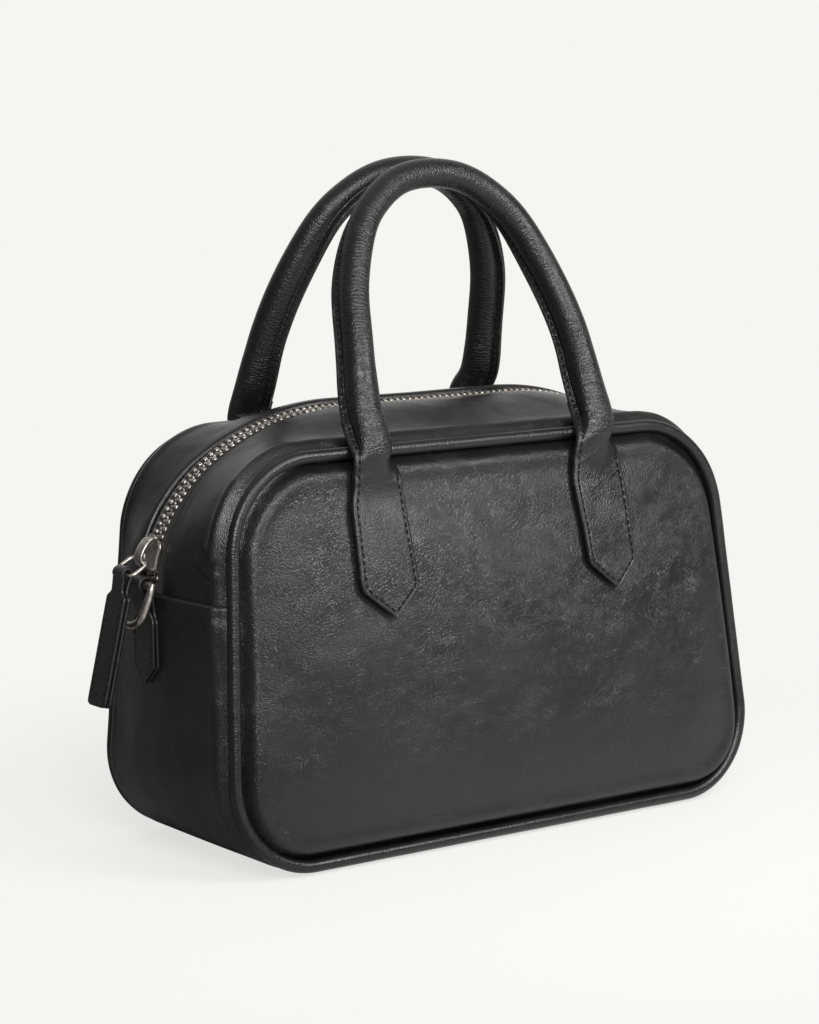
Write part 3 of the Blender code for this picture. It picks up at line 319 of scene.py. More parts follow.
# Building pieces
SHARP_ANGLE = math.radians(50)
WIDE = Vector((0, 1, 0))


def finish_piece(name, bm, material, body, replaces=()):
    """The mesh becomes an object on its body, with the nodes it stands for hidden."""
    mesh = bpy.data.meshes.new(name)
    bm.to_mesh(mesh)
    bm.free()
    mesh.shade_smooth()
    mesh.set_sharp_from_angle(angle=SHARP_ANGLE)
    mesh.materials.append(material)
    item = bpy.data.objects.new(name, mesh)
    bpy.context.scene.collection.objects.link(item)
    if body:
        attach(item, body)
    if replaces:
        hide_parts(*replaces)
    return item


def line_lengths(points):
    """Distance along a line of points from the first one to each."""
    lengths = [0.0]
    for a, b in zip(points, points[1:]):
        lengths.append(lengths[-1] + (b - a).length)
    return lengths


def warped_grid(columns, rows, place, width=1.0, length=1.0, ring=False, loop=False, caps=False, flip=False):
    """A grid whose corners (i, j) go to place(i, j), with a UV map in metres; length may be one value per row.

    ring joins its first and last column, loop its first and last row, caps closes a tube's ends and flip turns
    its faces round.
    """
    bm = bmesh.new()
    bmesh.ops.create_grid(bm, x_segments=columns, y_segments=rows, size=0.5)
    uv = bm.loops.layers.uv.new("UVMap")
    for face in bm.faces:
        for corner in face.loops:
            share = corner.vert.co.y + 0.5
            walked = length[round(share * rows)] if isinstance(length, list) else share * length
            corner[uv].uv = ((corner.vert.co.x + 0.5) * width, walked)
    for vert in bm.verts:
        i = round((vert.co.x + 0.5) * columns)
        j = round((vert.co.y + 0.5) * rows)
        vert.co = place(i % columns if ring else i, j % rows if loop else j)
    if ring or loop:
        bmesh.ops.remove_doubles(bm, verts=bm.verts, dist=1e-7)
    if caps:
        bmesh.ops.holes_fill(bm, edges=[edge for edge in bm.edges if edge.is_boundary])
    if ring:
        bmesh.ops.recalc_face_normals(bm, faces=bm.faces)
    if flip:
        bmesh.ops.reverse_faces(bm, faces=bm.faces)
    return bm


def thicken(item, thickness, offset=-1.0):
    """Gives a sheet its thickness, inwards of its faces unless offset says otherwise."""
    wall = item.modifiers.new("thickness", "SOLIDIFY")
    wall.thickness = thickness
    wall.offset = offset
    wall.use_even_offset = True


def swept_tube(points, radius, sides, closed, width_way):
    """A round wire along points; radius is a number or one per point."""
    count = len(points)

    def place(i, j):
        before = points[(j - 1) % count] if closed or j else points[0]
        after = points[(j + 1) % count] if closed or j < count - 1 else points[-1]
        along = (after - before).normalized()
        side = along.cross(width_way).normalized()
        over = side.cross(along)
        turn = math.tau * i / sides
        size = radius[j] if isinstance(radius, list) else radius
        return points[j] + (side * math.cos(turn) + over * math.sin(turn)) * size

    rows = count if closed else count - 1
    return warped_grid(sides, rows, place, 0.015, line_lengths(points)[-1], ring=True, loop=closed, caps=not closed)


def spaced(points, pitch):
    """Places at a pitch along a line of points, each an index with its fraction."""
    lengths = line_lengths(points)
    found = []
    index = 0
    for step in range(int(lengths[-1] / pitch) + 1):
        goal = (step + 0.5) * pitch
        if goal > lengths[-1]:
            break
        while lengths[index + 1] < goal:
            index += 1
        found.append(index + (goal - lengths[index]) / (lengths[index + 1] - lengths[index]))
    return found


def at_index(values, index):
    low = min(int(index), len(values) - 2)
    return values[low].lerp(values[low + 1], index - low)


def add_stitches(bm, points, normals, pitch, length, radius):
    """Short thread stitches at a pitch along a line of points, each lying along the line."""
    spots = spaced(points, pitch)
    row = [at_index(points, spot) for spot in spots]
    for i, spot in enumerate(spots):
        along = (row[min(i + 1, len(row) - 1)] - row[max(i - 1, 0)]).normalized()
        side = along.cross(at_index(normals, spot).normalized()).normalized()
        turn = Matrix((along, side, side.cross(along))).transposed().to_4x4()
        size = Matrix.Diagonal((length / 2, radius, radius, 1))
        bmesh.ops.create_uvsphere(bm, u_segments=6, v_segments=5, radius=1,
                                  matrix=Matrix.Translation(row[i]) @ turn @ size)


# The outline: parts 0 to 9 run from the left seam down, along the bottom, up and over the top
def outline_parts(height):
    """The outline's parts, each a function of a share from 0 to 1, and their lengths."""
    tilt = SIDE_TILT

    def centre(radius, side, level):
        across = BOTTOM_WIDTH / 2 - (radius + level * math.sin(tilt)) / math.cos(tilt)
        return Vector((side * across, 0, PIPING_BASE + level))

    corners = {
        (-1, -1): (centre(BOTTOM_RADIUS, -1, BOTTOM_RADIUS), BOTTOM_RADIUS, math.pi - tilt, math.pi * 1.5),
        (1, -1): (centre(BOTTOM_RADIUS, 1, BOTTOM_RADIUS), BOTTOM_RADIUS, -math.pi / 2, tilt),
        (1, 1): (centre(TOP_RADIUS, 1, height - TOP_RADIUS), TOP_RADIUS, tilt, math.pi / 2),
        (-1, 1): (centre(TOP_RADIUS, -1, height - TOP_RADIUS), TOP_RADIUS, math.pi / 2, math.pi - tilt),
    }

    def arc_point(corner, share):
        middle, radius, start, end = corners[corner]
        angle = lerp(start, end, share)
        way = Vector((math.cos(angle), 0, math.sin(angle)))
        return middle + way * radius, way

    low = arc_point((-1, -1), 0)[0]
    high = arc_point((-1, 1), 1)[0]
    seam = low.lerp(high, (SEAM_HEIGHT - low.z) / (high.z - low.z))
    far = Vector((-seam.x, 0, seam.z))

    def line(a, b):
        way = Vector(((a - b).z, 0, (b - a).x)).normalized()
        return lambda share: (a.lerp(b, share), way)

    def arc(corner):
        return lambda share: arc_point(corner, share)

    parts = [line(seam, low), arc((-1, -1)), line(arc_point((-1, -1), 1)[0], arc_point((1, -1), 0)[0]), arc((1, -1)),
             line(arc_point((1, -1), 1)[0], far), line(far, arc_point((1, 1), 0)[0]), arc((1, 1)),
             line(arc_point((1, 1), 1)[0], arc_point((-1, 1), 0)[0]), arc((-1, 1)), line(high, seam)]
    middle = Vector((0, 0, 0.08))
    for index in (0, 2, 4, 5, 7, 9):
        start, way = parts[index](0)
        if (start - middle).dot(way) < 0:
            parts[index] = (lambda part: lambda share: (part(share)[0], -part(share)[1]))(parts[index])
    lengths = [line_lengths([part(k / 8)[0] for k in range(9)])[-1] for part in parts]
    return parts, lengths


OUTLINES = {side: outline_parts(HEIGHTS[side]) for _, side in SIDES}


def outline_at(side, place):
    """Point on a panel's outline and its outward direction, in the plane of X and Z."""
    place %= 10
    return OUTLINES[side][0][int(place)](place - int(place))


def outline_walk(start, end, count):
    """Places on the outline from start to end, count steps of equal length; end may pass 10."""
    total = 0
    marks = [(start, 0.0)]
    place = start
    while place < end - 1e-9:
        after = min(math.floor(place + 1e-9) + 1, end)
        total += OUTLINES[FRONT][1][int(place + 1e-9) % 10] * (after - place)
        marks.append((after, total))
        place = after
    walk = []
    index = 0
    for step in range(count + 1):
        goal = total * step / count
        while index < len(marks) - 2 and goal > marks[index + 1][1]:
            index += 1
        (a, la), (b, lb) = marks[index:index + 2]
        walk.append(a + (b - a) * (goal - la) / (lb - la))
    return walk


def edge_distance(side, x, z):
    """How far a place on a panel lies inside the middle line of its piping."""
    height = HEIGHTS[side]
    side_gap = (BOTTOM_WIDTH / 2 - abs(x)) * math.cos(SIDE_TILT) - (z - PIPING_BASE) * math.sin(SIDE_TILT)
    if z < PIPING_BASE + height / 2:
        radius = BOTTOM_RADIUS
        gap = z - PIPING_BASE
    else:
        radius = TOP_RADIUS
        gap = PIPING_BASE + height - z
    if side_gap < radius and gap < radius:
        return radius - math.hypot(radius - side_gap, radius - gap)
    return min(side_gap, gap)


def panel_half_width(z):
    return BOTTOM_WIDTH / 2 - (z - PIPING_BASE) * math.tan(SIDE_TILT)


def panel_plane(side, x, z):
    """Y of the surface that the piping, the bulge and the handle's tabs of a panel stand on."""
    up = z - PIPING_BASE
    plane = side * (DEPTH / 2 - LEANS[side] * up)
    if side == FRONT:
        return plane
    across = min(abs(x) / panel_half_width(z), 1)
    return plane + BACK_BOW * (up / HEIGHTS[BACK]) ** 2 * (1 - across ** 2)


def panel_bulge(side, x, z):
    """The pillow of a panel over its plane."""
    share = (z - PIPING_BASE) / HEIGHTS[side]
    across = min(abs(x) / panel_half_width(z), 1)
    return PANEL_BULGE * curve_at(PANEL_BULGE_SHARES, share) * (1 - across ** 7)


def panel_relief(side, x, z):
    """How far the leather's face lies out of the panel's plane: a tucked edge, a rounded shoulder, the pillow."""
    edge = edge_distance(side, x, z)
    rise = smooth((edge - 0.0028) / 0.0040)
    out = lerp(-0.0026, 0.0010, rise) + 0.0009 * hump(edge - 0.0082, 0.0032)
    waves = noise.fractal(Vector((x * 38, side * 5, z * 46)), 0.9, 2.0, 3) * 0.0003
    return out + panel_bulge(side, x, z) + waves * smooth((edge - 0.003) / 0.02)


def panel_point(side, x, z):
    return Vector((x, panel_plane(side, x, z) + side * panel_relief(side, x, z), z))


# The gusset between the pipings
def zip_corner_centre(side):
    seam_x = -outline_at(FRONT, 0)[0].x + SIDE_BULGE
    return Vector((side * (seam_x - ZIP_CORNER_RADIUS), 0, SEAM_HEIGHT))


def zip_shoulder_centre(side):
    way = Vector((side * math.cos(ZIP_CORNER_TURN), 0, math.sin(ZIP_CORNER_TURN)))
    return zip_corner_centre(side) + way * (ZIP_CORNER_RADIUS - ZIP_SHOULDER_RADIUS)


def zip_top():
    return zip_shoulder_centre(1).z + ZIP_SHOULDER_RADIUS


def distance_to_zip(place, way):
    """Distance from a place to the zip's line, and how far from the side seam that is along the zip."""
    side = 1 if place.x > 0 else -1
    walked = 0
    for centre, radius, start, end in (
            (zip_corner_centre(side), ZIP_CORNER_RADIUS, 0, ZIP_CORNER_TURN),
            (zip_shoulder_centre(side), ZIP_SHOULDER_RADIUS, ZIP_CORNER_TURN, math.pi / 2)):
        offset = place - centre
        along = offset.dot(way)
        reach = -along + math.sqrt(max(along ** 2 - offset.length_squared + radius ** 2, 0))
        point = place + way * reach
        turn = math.atan2(point.z - centre.z, side * (point.x - centre.x))
        if turn <= end:
            return reach, walked + max(turn - start, 0) * radius
        walked += (end - start) * radius
    reach = (zip_top() - place.z) / way.z
    return reach, walked + abs(zip_shoulder_centre(side).x) - abs((place + way * reach).x)


def zip_middle_y(z):
    return ZIP_SETBACK + (LEANS[FRONT] - LEANS[BACK]) / 2 * (z - PIPING_BASE)


class Station:
    """What the gusset's surface needs at one place of the outline."""

    def __init__(self, place):
        front, way = outline_at(FRONT, place)
        back = outline_at(BACK, place)[0]
        self.way = way
        self.front = Vector((front.x, panel_plane(FRONT, front.x, front.z), front.z))
        self.back = Vector((back.x, panel_plane(BACK, back.x, back.z), back.z))
        self.depth = self.back.y - self.front.y
        middle = (self.front + self.back) / 2
        under = smooth(-way.z)
        if place <= 5:
            self.ridge = lerp(RIDGE_HEIGHT, BASE_DROP, under)
            self.dome = lerp(SIDE_BULGE, BASE_DROP, under)
            self.shift = ZIP_SETBACK * (1 - under)
            self.roll = 0.0003 * (1 - under)
            self.tilt = 0
            self.lip = 0.44
            self.room = 0
        else:
            flat = Vector((middle.x, 0, middle.z))
            self.ridge = RIDGE_HEIGHT
            reach, walked = distance_to_zip(flat, way)
            self.shift = zip_middle_y((flat + way * reach).z) - middle.y
            corner = 1 - min(abs(place - 8.6), abs(place - 6.4), 1)
            self.roll = 0.0003 + 0.0006 * smooth(corner)
            gap = curve_at(ZIP_GAPS, walked)
            tilt = curve_at(ZIP_TILTS, walked)
            self.dome = reach + curve_at(ZIP_LEVELS, walked)
            self.tilt = gap * math.sin(tilt)
            self.lip = 0.5 - gap * math.cos(tilt) / self.depth
            self.room = 0.0015 * hump(walked - 0.052, 0.022) / self.depth

    def point(self, share, level=0.0):
        """A point on the gusset: share runs from the front piping to the back one.

        The leather starts under the piping, rises over a small roll to its ridge and domes in the middle.
        """
        near = min(share, 1 - share)
        gap = near * self.depth
        height = self.ridge * smooth((gap - 0.0022) / 0.0052) - 0.0022 * (1 - smooth((gap - 0.0014) / 0.0020))
        height += self.roll * hump(gap - 0.0072, 0.0014)
        top = self.dome + (self.tilt if share > 0.5 else -self.tilt)
        height += (top - self.ridge) * smooth((near - 0.05) / (self.lip - 0.05))
        aside = Vector((0, self.shift * smooth(2 * near), 0))
        return self.front.lerp(self.back, share) + aside + self.way * (height + level)


# Shell
WALK_STEPS = 400
# Folds of the leather above each side seam: (Y, Z) of both ends and depth
CORNER_FOLDS = (((-0.0215, 0.1255), (-0.0345, 0.1135), 0.0009), ((-0.0165, 0.1200), (-0.0345, 0.1085), 0.0008),
                ((-0.0290, 0.1250), (-0.0380, 0.1190), 0.0005))


def square_place(a, b):
    """Place on the outline of the direction (a, b) on a square's edge."""
    if b <= -1 + 1e-9:
        return outline_share(1.5, 3.5, (a + 1) / 2)
    if a >= 1 - 1e-9:
        return outline_share(3.5, 6.5, (b + 1) / 2)
    if b >= 1 - 1e-9:
        return outline_share(6.5, 8.5, (1 - a) / 2)
    return outline_share(8.5, 11.5, (1 - b) / 2)


WALKS = {key: outline_walk(*key, WALK_STEPS) for key in ((1.5, 3.5), (3.5, 6.5), (6.5, 8.5), (8.5, 11.5))}


def outline_share(start, end, share):
    walk = WALKS[(start, end)]
    index = min(share, 1) * WALK_STEPS
    low = min(int(index), WALK_STEPS - 1)
    return lerp(walk[low], walk[low + 1], index - low)


def panel_sheet(side, columns, rows, inset, face):
    """A panel's surface in rings that follow its outline, closer together near the edge."""
    middle = Vector((0, 0, PIPING_BASE + HEIGHTS[side] / 2))

    def place(i, j):
        a = 2 * i / columns - 1
        b = 2 * j / rows - 1
        reach = max(abs(a), abs(b))
        if reach < 1e-9:
            return face(middle.x, middle.z)
        spot, way = outline_at(side, square_place(a / reach, b / reach))
        spot = middle.lerp(spot - way * inset, 1 - (1 - reach) ** 1.35)
        return face(spot.x, spot.z)

    return warped_grid(columns, rows, place, BOTTOM_WIDTH, HEIGHTS[side], flip=side == BACK)


def make_panels():
    for word, side in SIDES:
        bm = panel_sheet(side, 200, 132, 0.0009, lambda x, z: panel_point(side, x, z))
        panel = finish_piece(f"{word}_panel_leather", bm, SHELL_CALF, "bag_body",
                             [f"{word}_panel"])
        thicken(panel, SHELL_LEATHER)
        lining = panel_sheet(side, 60, 40, 0.0092, lambda x, z: Vector(
            (x, panel_plane(side, x, z) + side * (panel_bulge(side, x, z) - 0.0020
             + 0.0003 * noise.noise(Vector((x * 90, side, z * 90)))), z)))
        cloth = finish_piece(f"{word}_lining_cloth", lining, LINING, "bag_body", [f"{word}_lining"])
        thicken(cloth, CLOTH)


def make_pipings():
    for word, side in SIDES:
        points = []
        radii = []
        for k, place in enumerate(outline_walk(0, 10, 520)[:-1]):
            spot, way = outline_at(side, place)
            points.append(Vector((spot.x, panel_plane(side, spot.x, spot.z), spot.z)))
            radii.append(PIPING_RADIUS * (1 + 0.035 * noise.noise(Vector((k * 0.11, side, 0)))))
        bm = swept_tube(points, radii, 14, True, WIDE)
        finish_piece(f"{word}_piping_cord", bm, PIPING_CALF, "bag_body", [f"{word}_piping"])


def lip_shares(station, side, count):
    """Shares across a zip strip from its piping to its folded lip, closer together near both edges.

    The back lip leaves the slider a little more room on its way round the corner.
    """
    near = SEAM_GAP / station.depth
    lip = station.lip - (station.room if side == BACK else 0)
    shares = [lerp(near, lip, 0.5 - 0.5 * math.cos(math.pi * k / count)) for k in range(count + 1)]
    return shares if side == FRONT else [1 - share for share in shares]


def strip_wrinkles(point, near):
    """Soft waves of the gusset's leather between its seams, and the three folds above each side seam."""
    waves = noise.fractal(point * 42, 0.9, 2.0, 3) * 0.0005
    for (y, z), (far_y, far_z), depth in CORNER_FOLDS:
        way = Vector((far_y - y, far_z - z))
        offset = Vector((point.y - y, point.z - z))
        walked = offset.dot(way) / way.length_squared
        across = (offset.x * way.y - offset.y * way.x) / way.length
        across += 0.0007 * math.sin(walked * 7)
        fade = smooth(walked * 4 + 0.6) * smooth((1.15 - walked) * 4) if abs(point.x) > 0.1 else 0
        waves += depth * fade * (hump(across - 0.0013, 0.0014) - 1.1 * hump(across + 0.0002, 0.0009))
    return waves * smooth((near - 0.06) / 0.06)


def make_zip_strips():
    """Each strip runs from its piping up to a lip that is folded under beside the zip."""
    for word, side in SIDES:
        stations = [Station(place) for place in outline_walk(5, 10, 360)]
        across = 40
        fold = 8
        rows = []
        for station in stations:
            shares = lip_shares(station, side, across)
            row = []
            for share in shares:
                near = min(share, 1 - share)
                spot = station.point(share)
                lift = strip_wrinkles(spot, near) * (1 - smooth((near - station.lip + 0.09) / 0.06))
                row.append(station.point(share, lift))
            lip = shares[-1]
            edge = FOLD / station.depth * -side
            for k in range(1, fold + 1):
                turn = math.pi * k / fold
                share = lip + edge * math.sin(turn)
                row.append(station.point(share, -FOLD * (1 - math.cos(turn))))
            row.append(station.point(lip - edge * 6, -0.0020))
            rows.append(row)
        bm = warped_grid(across + fold + 1, 360, lambda i, j: rows[j][i], 0.045, 0.33, flip=side == FRONT)
        strip = finish_piece(f"{word}_zip_strip_leather", bm, GUSSET_CALF, "bag_body",
                             [f"{word}_zip_strip"])
        thicken(strip, GUSSET_LEATHER)
        row = []
        for station in stations:
            share = station.lip - 0.0020 / station.depth - (station.room if side == BACK else 0)
            row.append(station.point(share if side == FRONT else 1 - share, 0.0001))
        bm = bmesh.new()
        add_stitches(bm, row, [station.way for station in stations], *SEAM_STITCHES)
        finish_piece(f"{word}_zip_strip_stitches", bm, THREAD, "bag_body")


def lap_level(depth):
    """How far the lower gusset lies over the zip strips, by the distance below its folded end."""
    return 0.0019 * (1 - smooth((depth - 0.004) / 0.030)) - 0.0003 * hump(depth - 0.0030, 0.0007)


def make_lower_gusset():
    """One strip from seam to seam; its two ends are folded and lap over the zip strips."""
    steps = 420
    fold = 7
    stations = [Station(place) for place in outline_walk(0, 5, steps)]
    stride = (stations[5].front - stations[4].front).length
    across = 60
    rows = []
    for j in range(-fold, steps + fold + 1):
        station = stations[min(max(j, 0), steps)]
        near = SEAM_GAP / station.depth
        depth = min(j, steps - j) * stride
        turn = math.pi * max(-j, j - steps, 0) / fold
        along = Vector((0, 0, FOLD * math.sin(turn)))
        row = []
        for i in range(across + 1):
            share = lerp(near, 1 - near, 0.5 - 0.5 * math.cos(math.pi * i / across))
            lift = strip_wrinkles(station.point(share), min(share, 1 - share)) * smooth(1.2 + station.way.z * 1.2)
            level = lap_level(max(depth, 0)) + lift * smooth(depth / 0.01) - FOLD * (1 - math.cos(turn))
            row.append(station.point(share, level) + along)
        rows.append(row)
    bm = warped_grid(across, steps + 2 * fold, lambda i, j: rows[j][i], DEPTH, 0.6, flip=True)
    gusset = finish_piece("lower_gusset_leather", bm, GUSSET_CALF, "bag_body", ["lower_gusset"])
    thicken(gusset, GUSSET_LEATHER)
    bm = bmesh.new()
    for j in (2, steps - 2):
        station = stations[j]
        row = [station.point(0.03 + 0.94 * k / 60, lap_level(0.0030) + 0.0001) for k in range(61)]
        add_stitches(bm, row, [station.way] * len(row), *SEAM_STITCHES)
    finish_piece("side_seam_stitches", bm, THREAD, "bag_body")


# Zip
def zip_path():
    """The zip line's length, and a function for the point and outward direction at a length from its left end."""
    corner = ZIP_CORNER_RADIUS * ZIP_CORNER_TURN
    shoulder = ZIP_SHOULDER_RADIUS * (math.pi / 2 - ZIP_CORNER_TURN)
    reach = zip_shoulder_centre(1).x
    total = 2 * (corner + shoulder + reach)

    def at(length):
        side = -1 if length < total / 2 else 1
        walked = length if side < 0 else total - length
        if walked > corner + shoulder:
            return Vector((side * (reach - (walked - corner - shoulder)), 0, zip_top())), Vector((0, 0, 1))
        if walked < corner:
            centre, radius, angle = zip_corner_centre(side), ZIP_CORNER_RADIUS, walked / ZIP_CORNER_RADIUS
        else:
            centre, radius = zip_shoulder_centre(side), ZIP_SHOULDER_RADIUS
            angle = ZIP_CORNER_TURN + (walked - corner) / radius
        way = Vector((side * math.cos(angle), 0, math.sin(angle)))
        return centre + way * radius, way

    return total, at


ZIP_LENGTH, ZIP_AT = zip_path()


def zip_point(length, across, level):
    """A point by the zip: across runs to the back, level outwards, both turned with the zip's tilt to the front."""
    spot, way = ZIP_AT(length)
    walked = min(length, ZIP_LENGTH - length)
    tilt = curve_at(ZIP_TILTS, walked)
    place = Vector((spot.x, zip_middle_y(spot.z), spot.z)) + way * curve_at(ZIP_LEVELS, walked)
    back = Vector((0, math.cos(tilt), 0)) + way * math.sin(tilt)
    out = way * math.cos(tilt) - Vector((0, math.sin(tilt), 0))
    sunk = 0.0009 * smooth((walked - 0.085) / 0.04)
    return place + back * across + out * (level - sunk)


def make_zip():
    for word, side in SIDES:
        def tape_point(i, j):
            out = lerp(0.0003, 0.0122, i / 10)
            return zip_point(ZIP_LENGTH * j / 300, side * out, -0.0006 - 0.0016 * smooth((out - 0.004) / 0.004))

        bm = warped_grid(10, 300, tape_point, 0.0119, ZIP_LENGTH, flip=side == BACK)
        tape = finish_piece(f"zip_tape_{word}_woven", bm, TAPE, "bag_body", [f"zip_tape_{word}"])
        thicken(tape, 0.0006, 0)
        bm = bmesh.new()
        for k in range(int((ZIP_LENGTH - 2 * TEETH_START) / TOOTH_PITCH)):
            add_tooth(bm, TEETH_START + k * TOOTH_PITCH + (0 if side == FRONT else TOOTH_PITCH / 2), side)
        finish_piece(f"zip_teeth_{word}_cast", bm, NICKEL, "bag_body", [f"zip_teeth_{word}"])


def add_tooth(bm, length, side):
    """One tooth: a rounded head that crosses the middle, and a wider foot clamped on the tape's cord."""
    middle = zip_point(length, 0, 0)
    along = (zip_point(length + 0.0005, 0, 0) - middle).normalized()
    over = (zip_point(length, side * 0.001, 0) - middle).normalized()
    turn = Matrix((along, over, along.cross(over) * -side)).transposed().to_4x4()
    for centre, half in (((0, 0.0004, 0.0001), (0.00062, 0.0014, 0.00062)),
                         ((0, 0.0022, 0.0000), (0.00092, 0.0011, 0.00082))):
        place = Matrix.Translation(middle) @ turn @ Matrix.Translation(centre)
        made = bmesh.ops.create_cube(bm, size=2, matrix=place @ Matrix.Diagonal((*half, 1)))
        edges = list({edge for vert in made["verts"] for edge in vert.link_edges})
        bmesh.ops.bevel(bm, geom=edges, offset=0.00030, affect="EDGES", segments=1, profile=0.5, material=-1)


# Leather strips with a rounded edge: straps, the zip's puller and the handles
def strip_section(outer, edge, inner):
    """Loop of a strip's section: (place across from -1 to 1, share of the rounded edge, share of the depth)."""
    loop = [(-math.cos(math.pi * k / outer), 0, 0) for k in range(outer + 1)]
    loop += [(1, math.sin(math.pi * k / edge), 0.5 - 0.5 * math.cos(math.pi * k / edge)) for k in range(1, edge)]
    loop += [(1 - 2 * k / inner, 0, 1) for k in range(inner + 1)]
    loop += [(-1, -math.sin(math.pi * k / edge), 0.5 + 0.5 * math.cos(math.pi * k / edge)) for k in range(1, edge)]
    return loop


def strap_strip(line, halves, leather):
    """A strap along a line of (point, outward direction), as wide as halves says at each point."""
    loop = strip_section(14, 5, 6)

    def place(i, j):
        point, way = line[j]
        across, edge, depth = loop[i]
        reach = max(halves[j] - leather / 2, 0.0001)
        return point + WIDE * (across * reach + edge * leather / 2) + way * leather * (0.5 - depth)

    length = line_lengths([point for point, _ in line])[-1]
    return warped_grid(len(loop), len(line) - 1, place, 0.03, length, ring=True, caps=True)


HAIRPIN_OPENING = math.radians(38)


def hairpin(eye, body, out, radius, leather):
    """Middle line of a strap folded round a wire: (point, outward direction) from one end to the other."""
    loop = radius + leather / 2
    half = leather / 2 + 0.00015
    down = (body[-1] - eye).normalized()
    across = (out - down * out.dot(down)).normalized()
    front = [point + out * half for point in body]
    back = [point - out * half for point in reversed(body)]
    turns = [lerp(-HAIRPIN_OPENING, math.pi + HAIRPIN_OPENING, k / 10) for k in range(11)]
    ways = [across * math.cos(turn) - down * math.sin(turn) for turn in turns]
    points = smooth_line(front + [eye + way * loop for way in ways] + back, 8)
    sides = smooth_line([out] * len(front) + ways + [-out] * len(back), 8)
    return [(point, side.normalized()) for point, side in zip(points, sides)]


def strap_half(walked, tip, point, full, loop, neck, start):
    """Half width of a strap at a distance from its tip: pointed end, full body, narrower loop."""
    end = math.sqrt(max(tip ** 2 - max(tip - walked, 0) ** 2, 0))
    taper = tip + (full - tip) * max(walked - tip * 0.6, 0) / point
    body = lerp(full, loop, smooth((walked - neck) / (start - neck)))
    return max(min(taper, body) if walked > tip else min(end, taper), 0.0002)


def stitched_rows(line, halves, leather, inset, start, end, body, name):
    """Stitches along both edges of a strap's outer face, between two lengths from its first end."""
    lengths = line_lengths([point for point, _ in line])
    bm = bmesh.new()
    for edge in (-1, 1):
        kept = [k for k, length in enumerate(lengths) if start <= length <= end and halves[k] > inset]
        row = [line[k][0] + WIDE * edge * (halves[k] - inset) + line[k][1] * leather * 0.52 for k in kept]
        add_stitches(bm, row, [line[k][1] for k in kept], *STRAP_STITCHES)
    finish_piece(name, bm, THREAD, body)


# Handles: one strip of leather each, flat where it is sewn on and wrapped round a cord above
LEG_X = 0.0565
CREASE_HEIGHT = 0.1465
TAB_TIP = 0.0957
TAB_POINT = 0.0108
TAB_HALF = 0.0138
NECK_HALF = 0.0123
TAB_OUT = 0.0062
TAB_FACE = 0.0045
TAB_LEATHER = 0.0027
ROLL_LEATHER = 0.0014
SWELL_FROM = 0.1385
ARCH_BASE = 0.1544
ARCH_HEIGHT = 0.1144
ARCH_SHARES = ((0.995, 0.216), (0.95, 0.42), (0.865, 0.61), (0.70, 0.80), (0.52, 0.905), (0.28, 0.978), (0.0, 1.0))
# By side: lean in degrees, Y of the arch's foot, shares of the arch's width and bow, how far the foot lies out
ARCHES = {FRONT: (19.0, -0.0308, 1, 1, (0.0062, 0.0062, 0.0060, 0.0030)),
          BACK: (17.8, 0.0555, 1.025, 0.6, (0.0062, 0.0075, 0.0098, 0.0082))}
# By height over the ground: how open the wrap is, half width, half depth, flange of the roll and its turn in degrees
OPEN_SHARES = ((0.1465, 1.0), (0.150, 0.93), (0.154, 0.75), (0.158, 0.48), (0.162, 0.22), (0.166, 0.07), (0.172, 0.0))
ROLL_HALF_WIDTHS = ((0.1465, 0.0080), (0.158, 0.0078), (0.167, 0.0074), (0.1745, 0.0071), (0.184, 0.0067),
                    (0.192, 0.0062), (0.21, 0.0060), (0.26, 0.0059))
ROLL_HALF_DEPTHS = ((0.1465, 0.0026), (0.152, 0.0032), (0.158, 0.0042), (0.1675, 0.0054), (0.178, 0.0060),
                    (0.19, 0.0061), (0.26, 0.0059))
FLANGES = ((0.1465, 0.0014), (0.156, 0.0026), (0.165, 0.0032), (0.26, 0.0032))
FLANGE_TURNS = ((0.1465, 80), (0.158, 66), (0.168, 50), (0.180, 41), (0.195, 38), (0.26, 38))
# How far the arch bows outwards of its own plane above the foot
ARCH_BOWS = ((0.168, 0.0), (0.178, 0.0028), (0.192, 0.0036), (0.211, 0.0024), (0.224, 0.0010), (0.245, 0.0003),
             (0.27, 0.0))


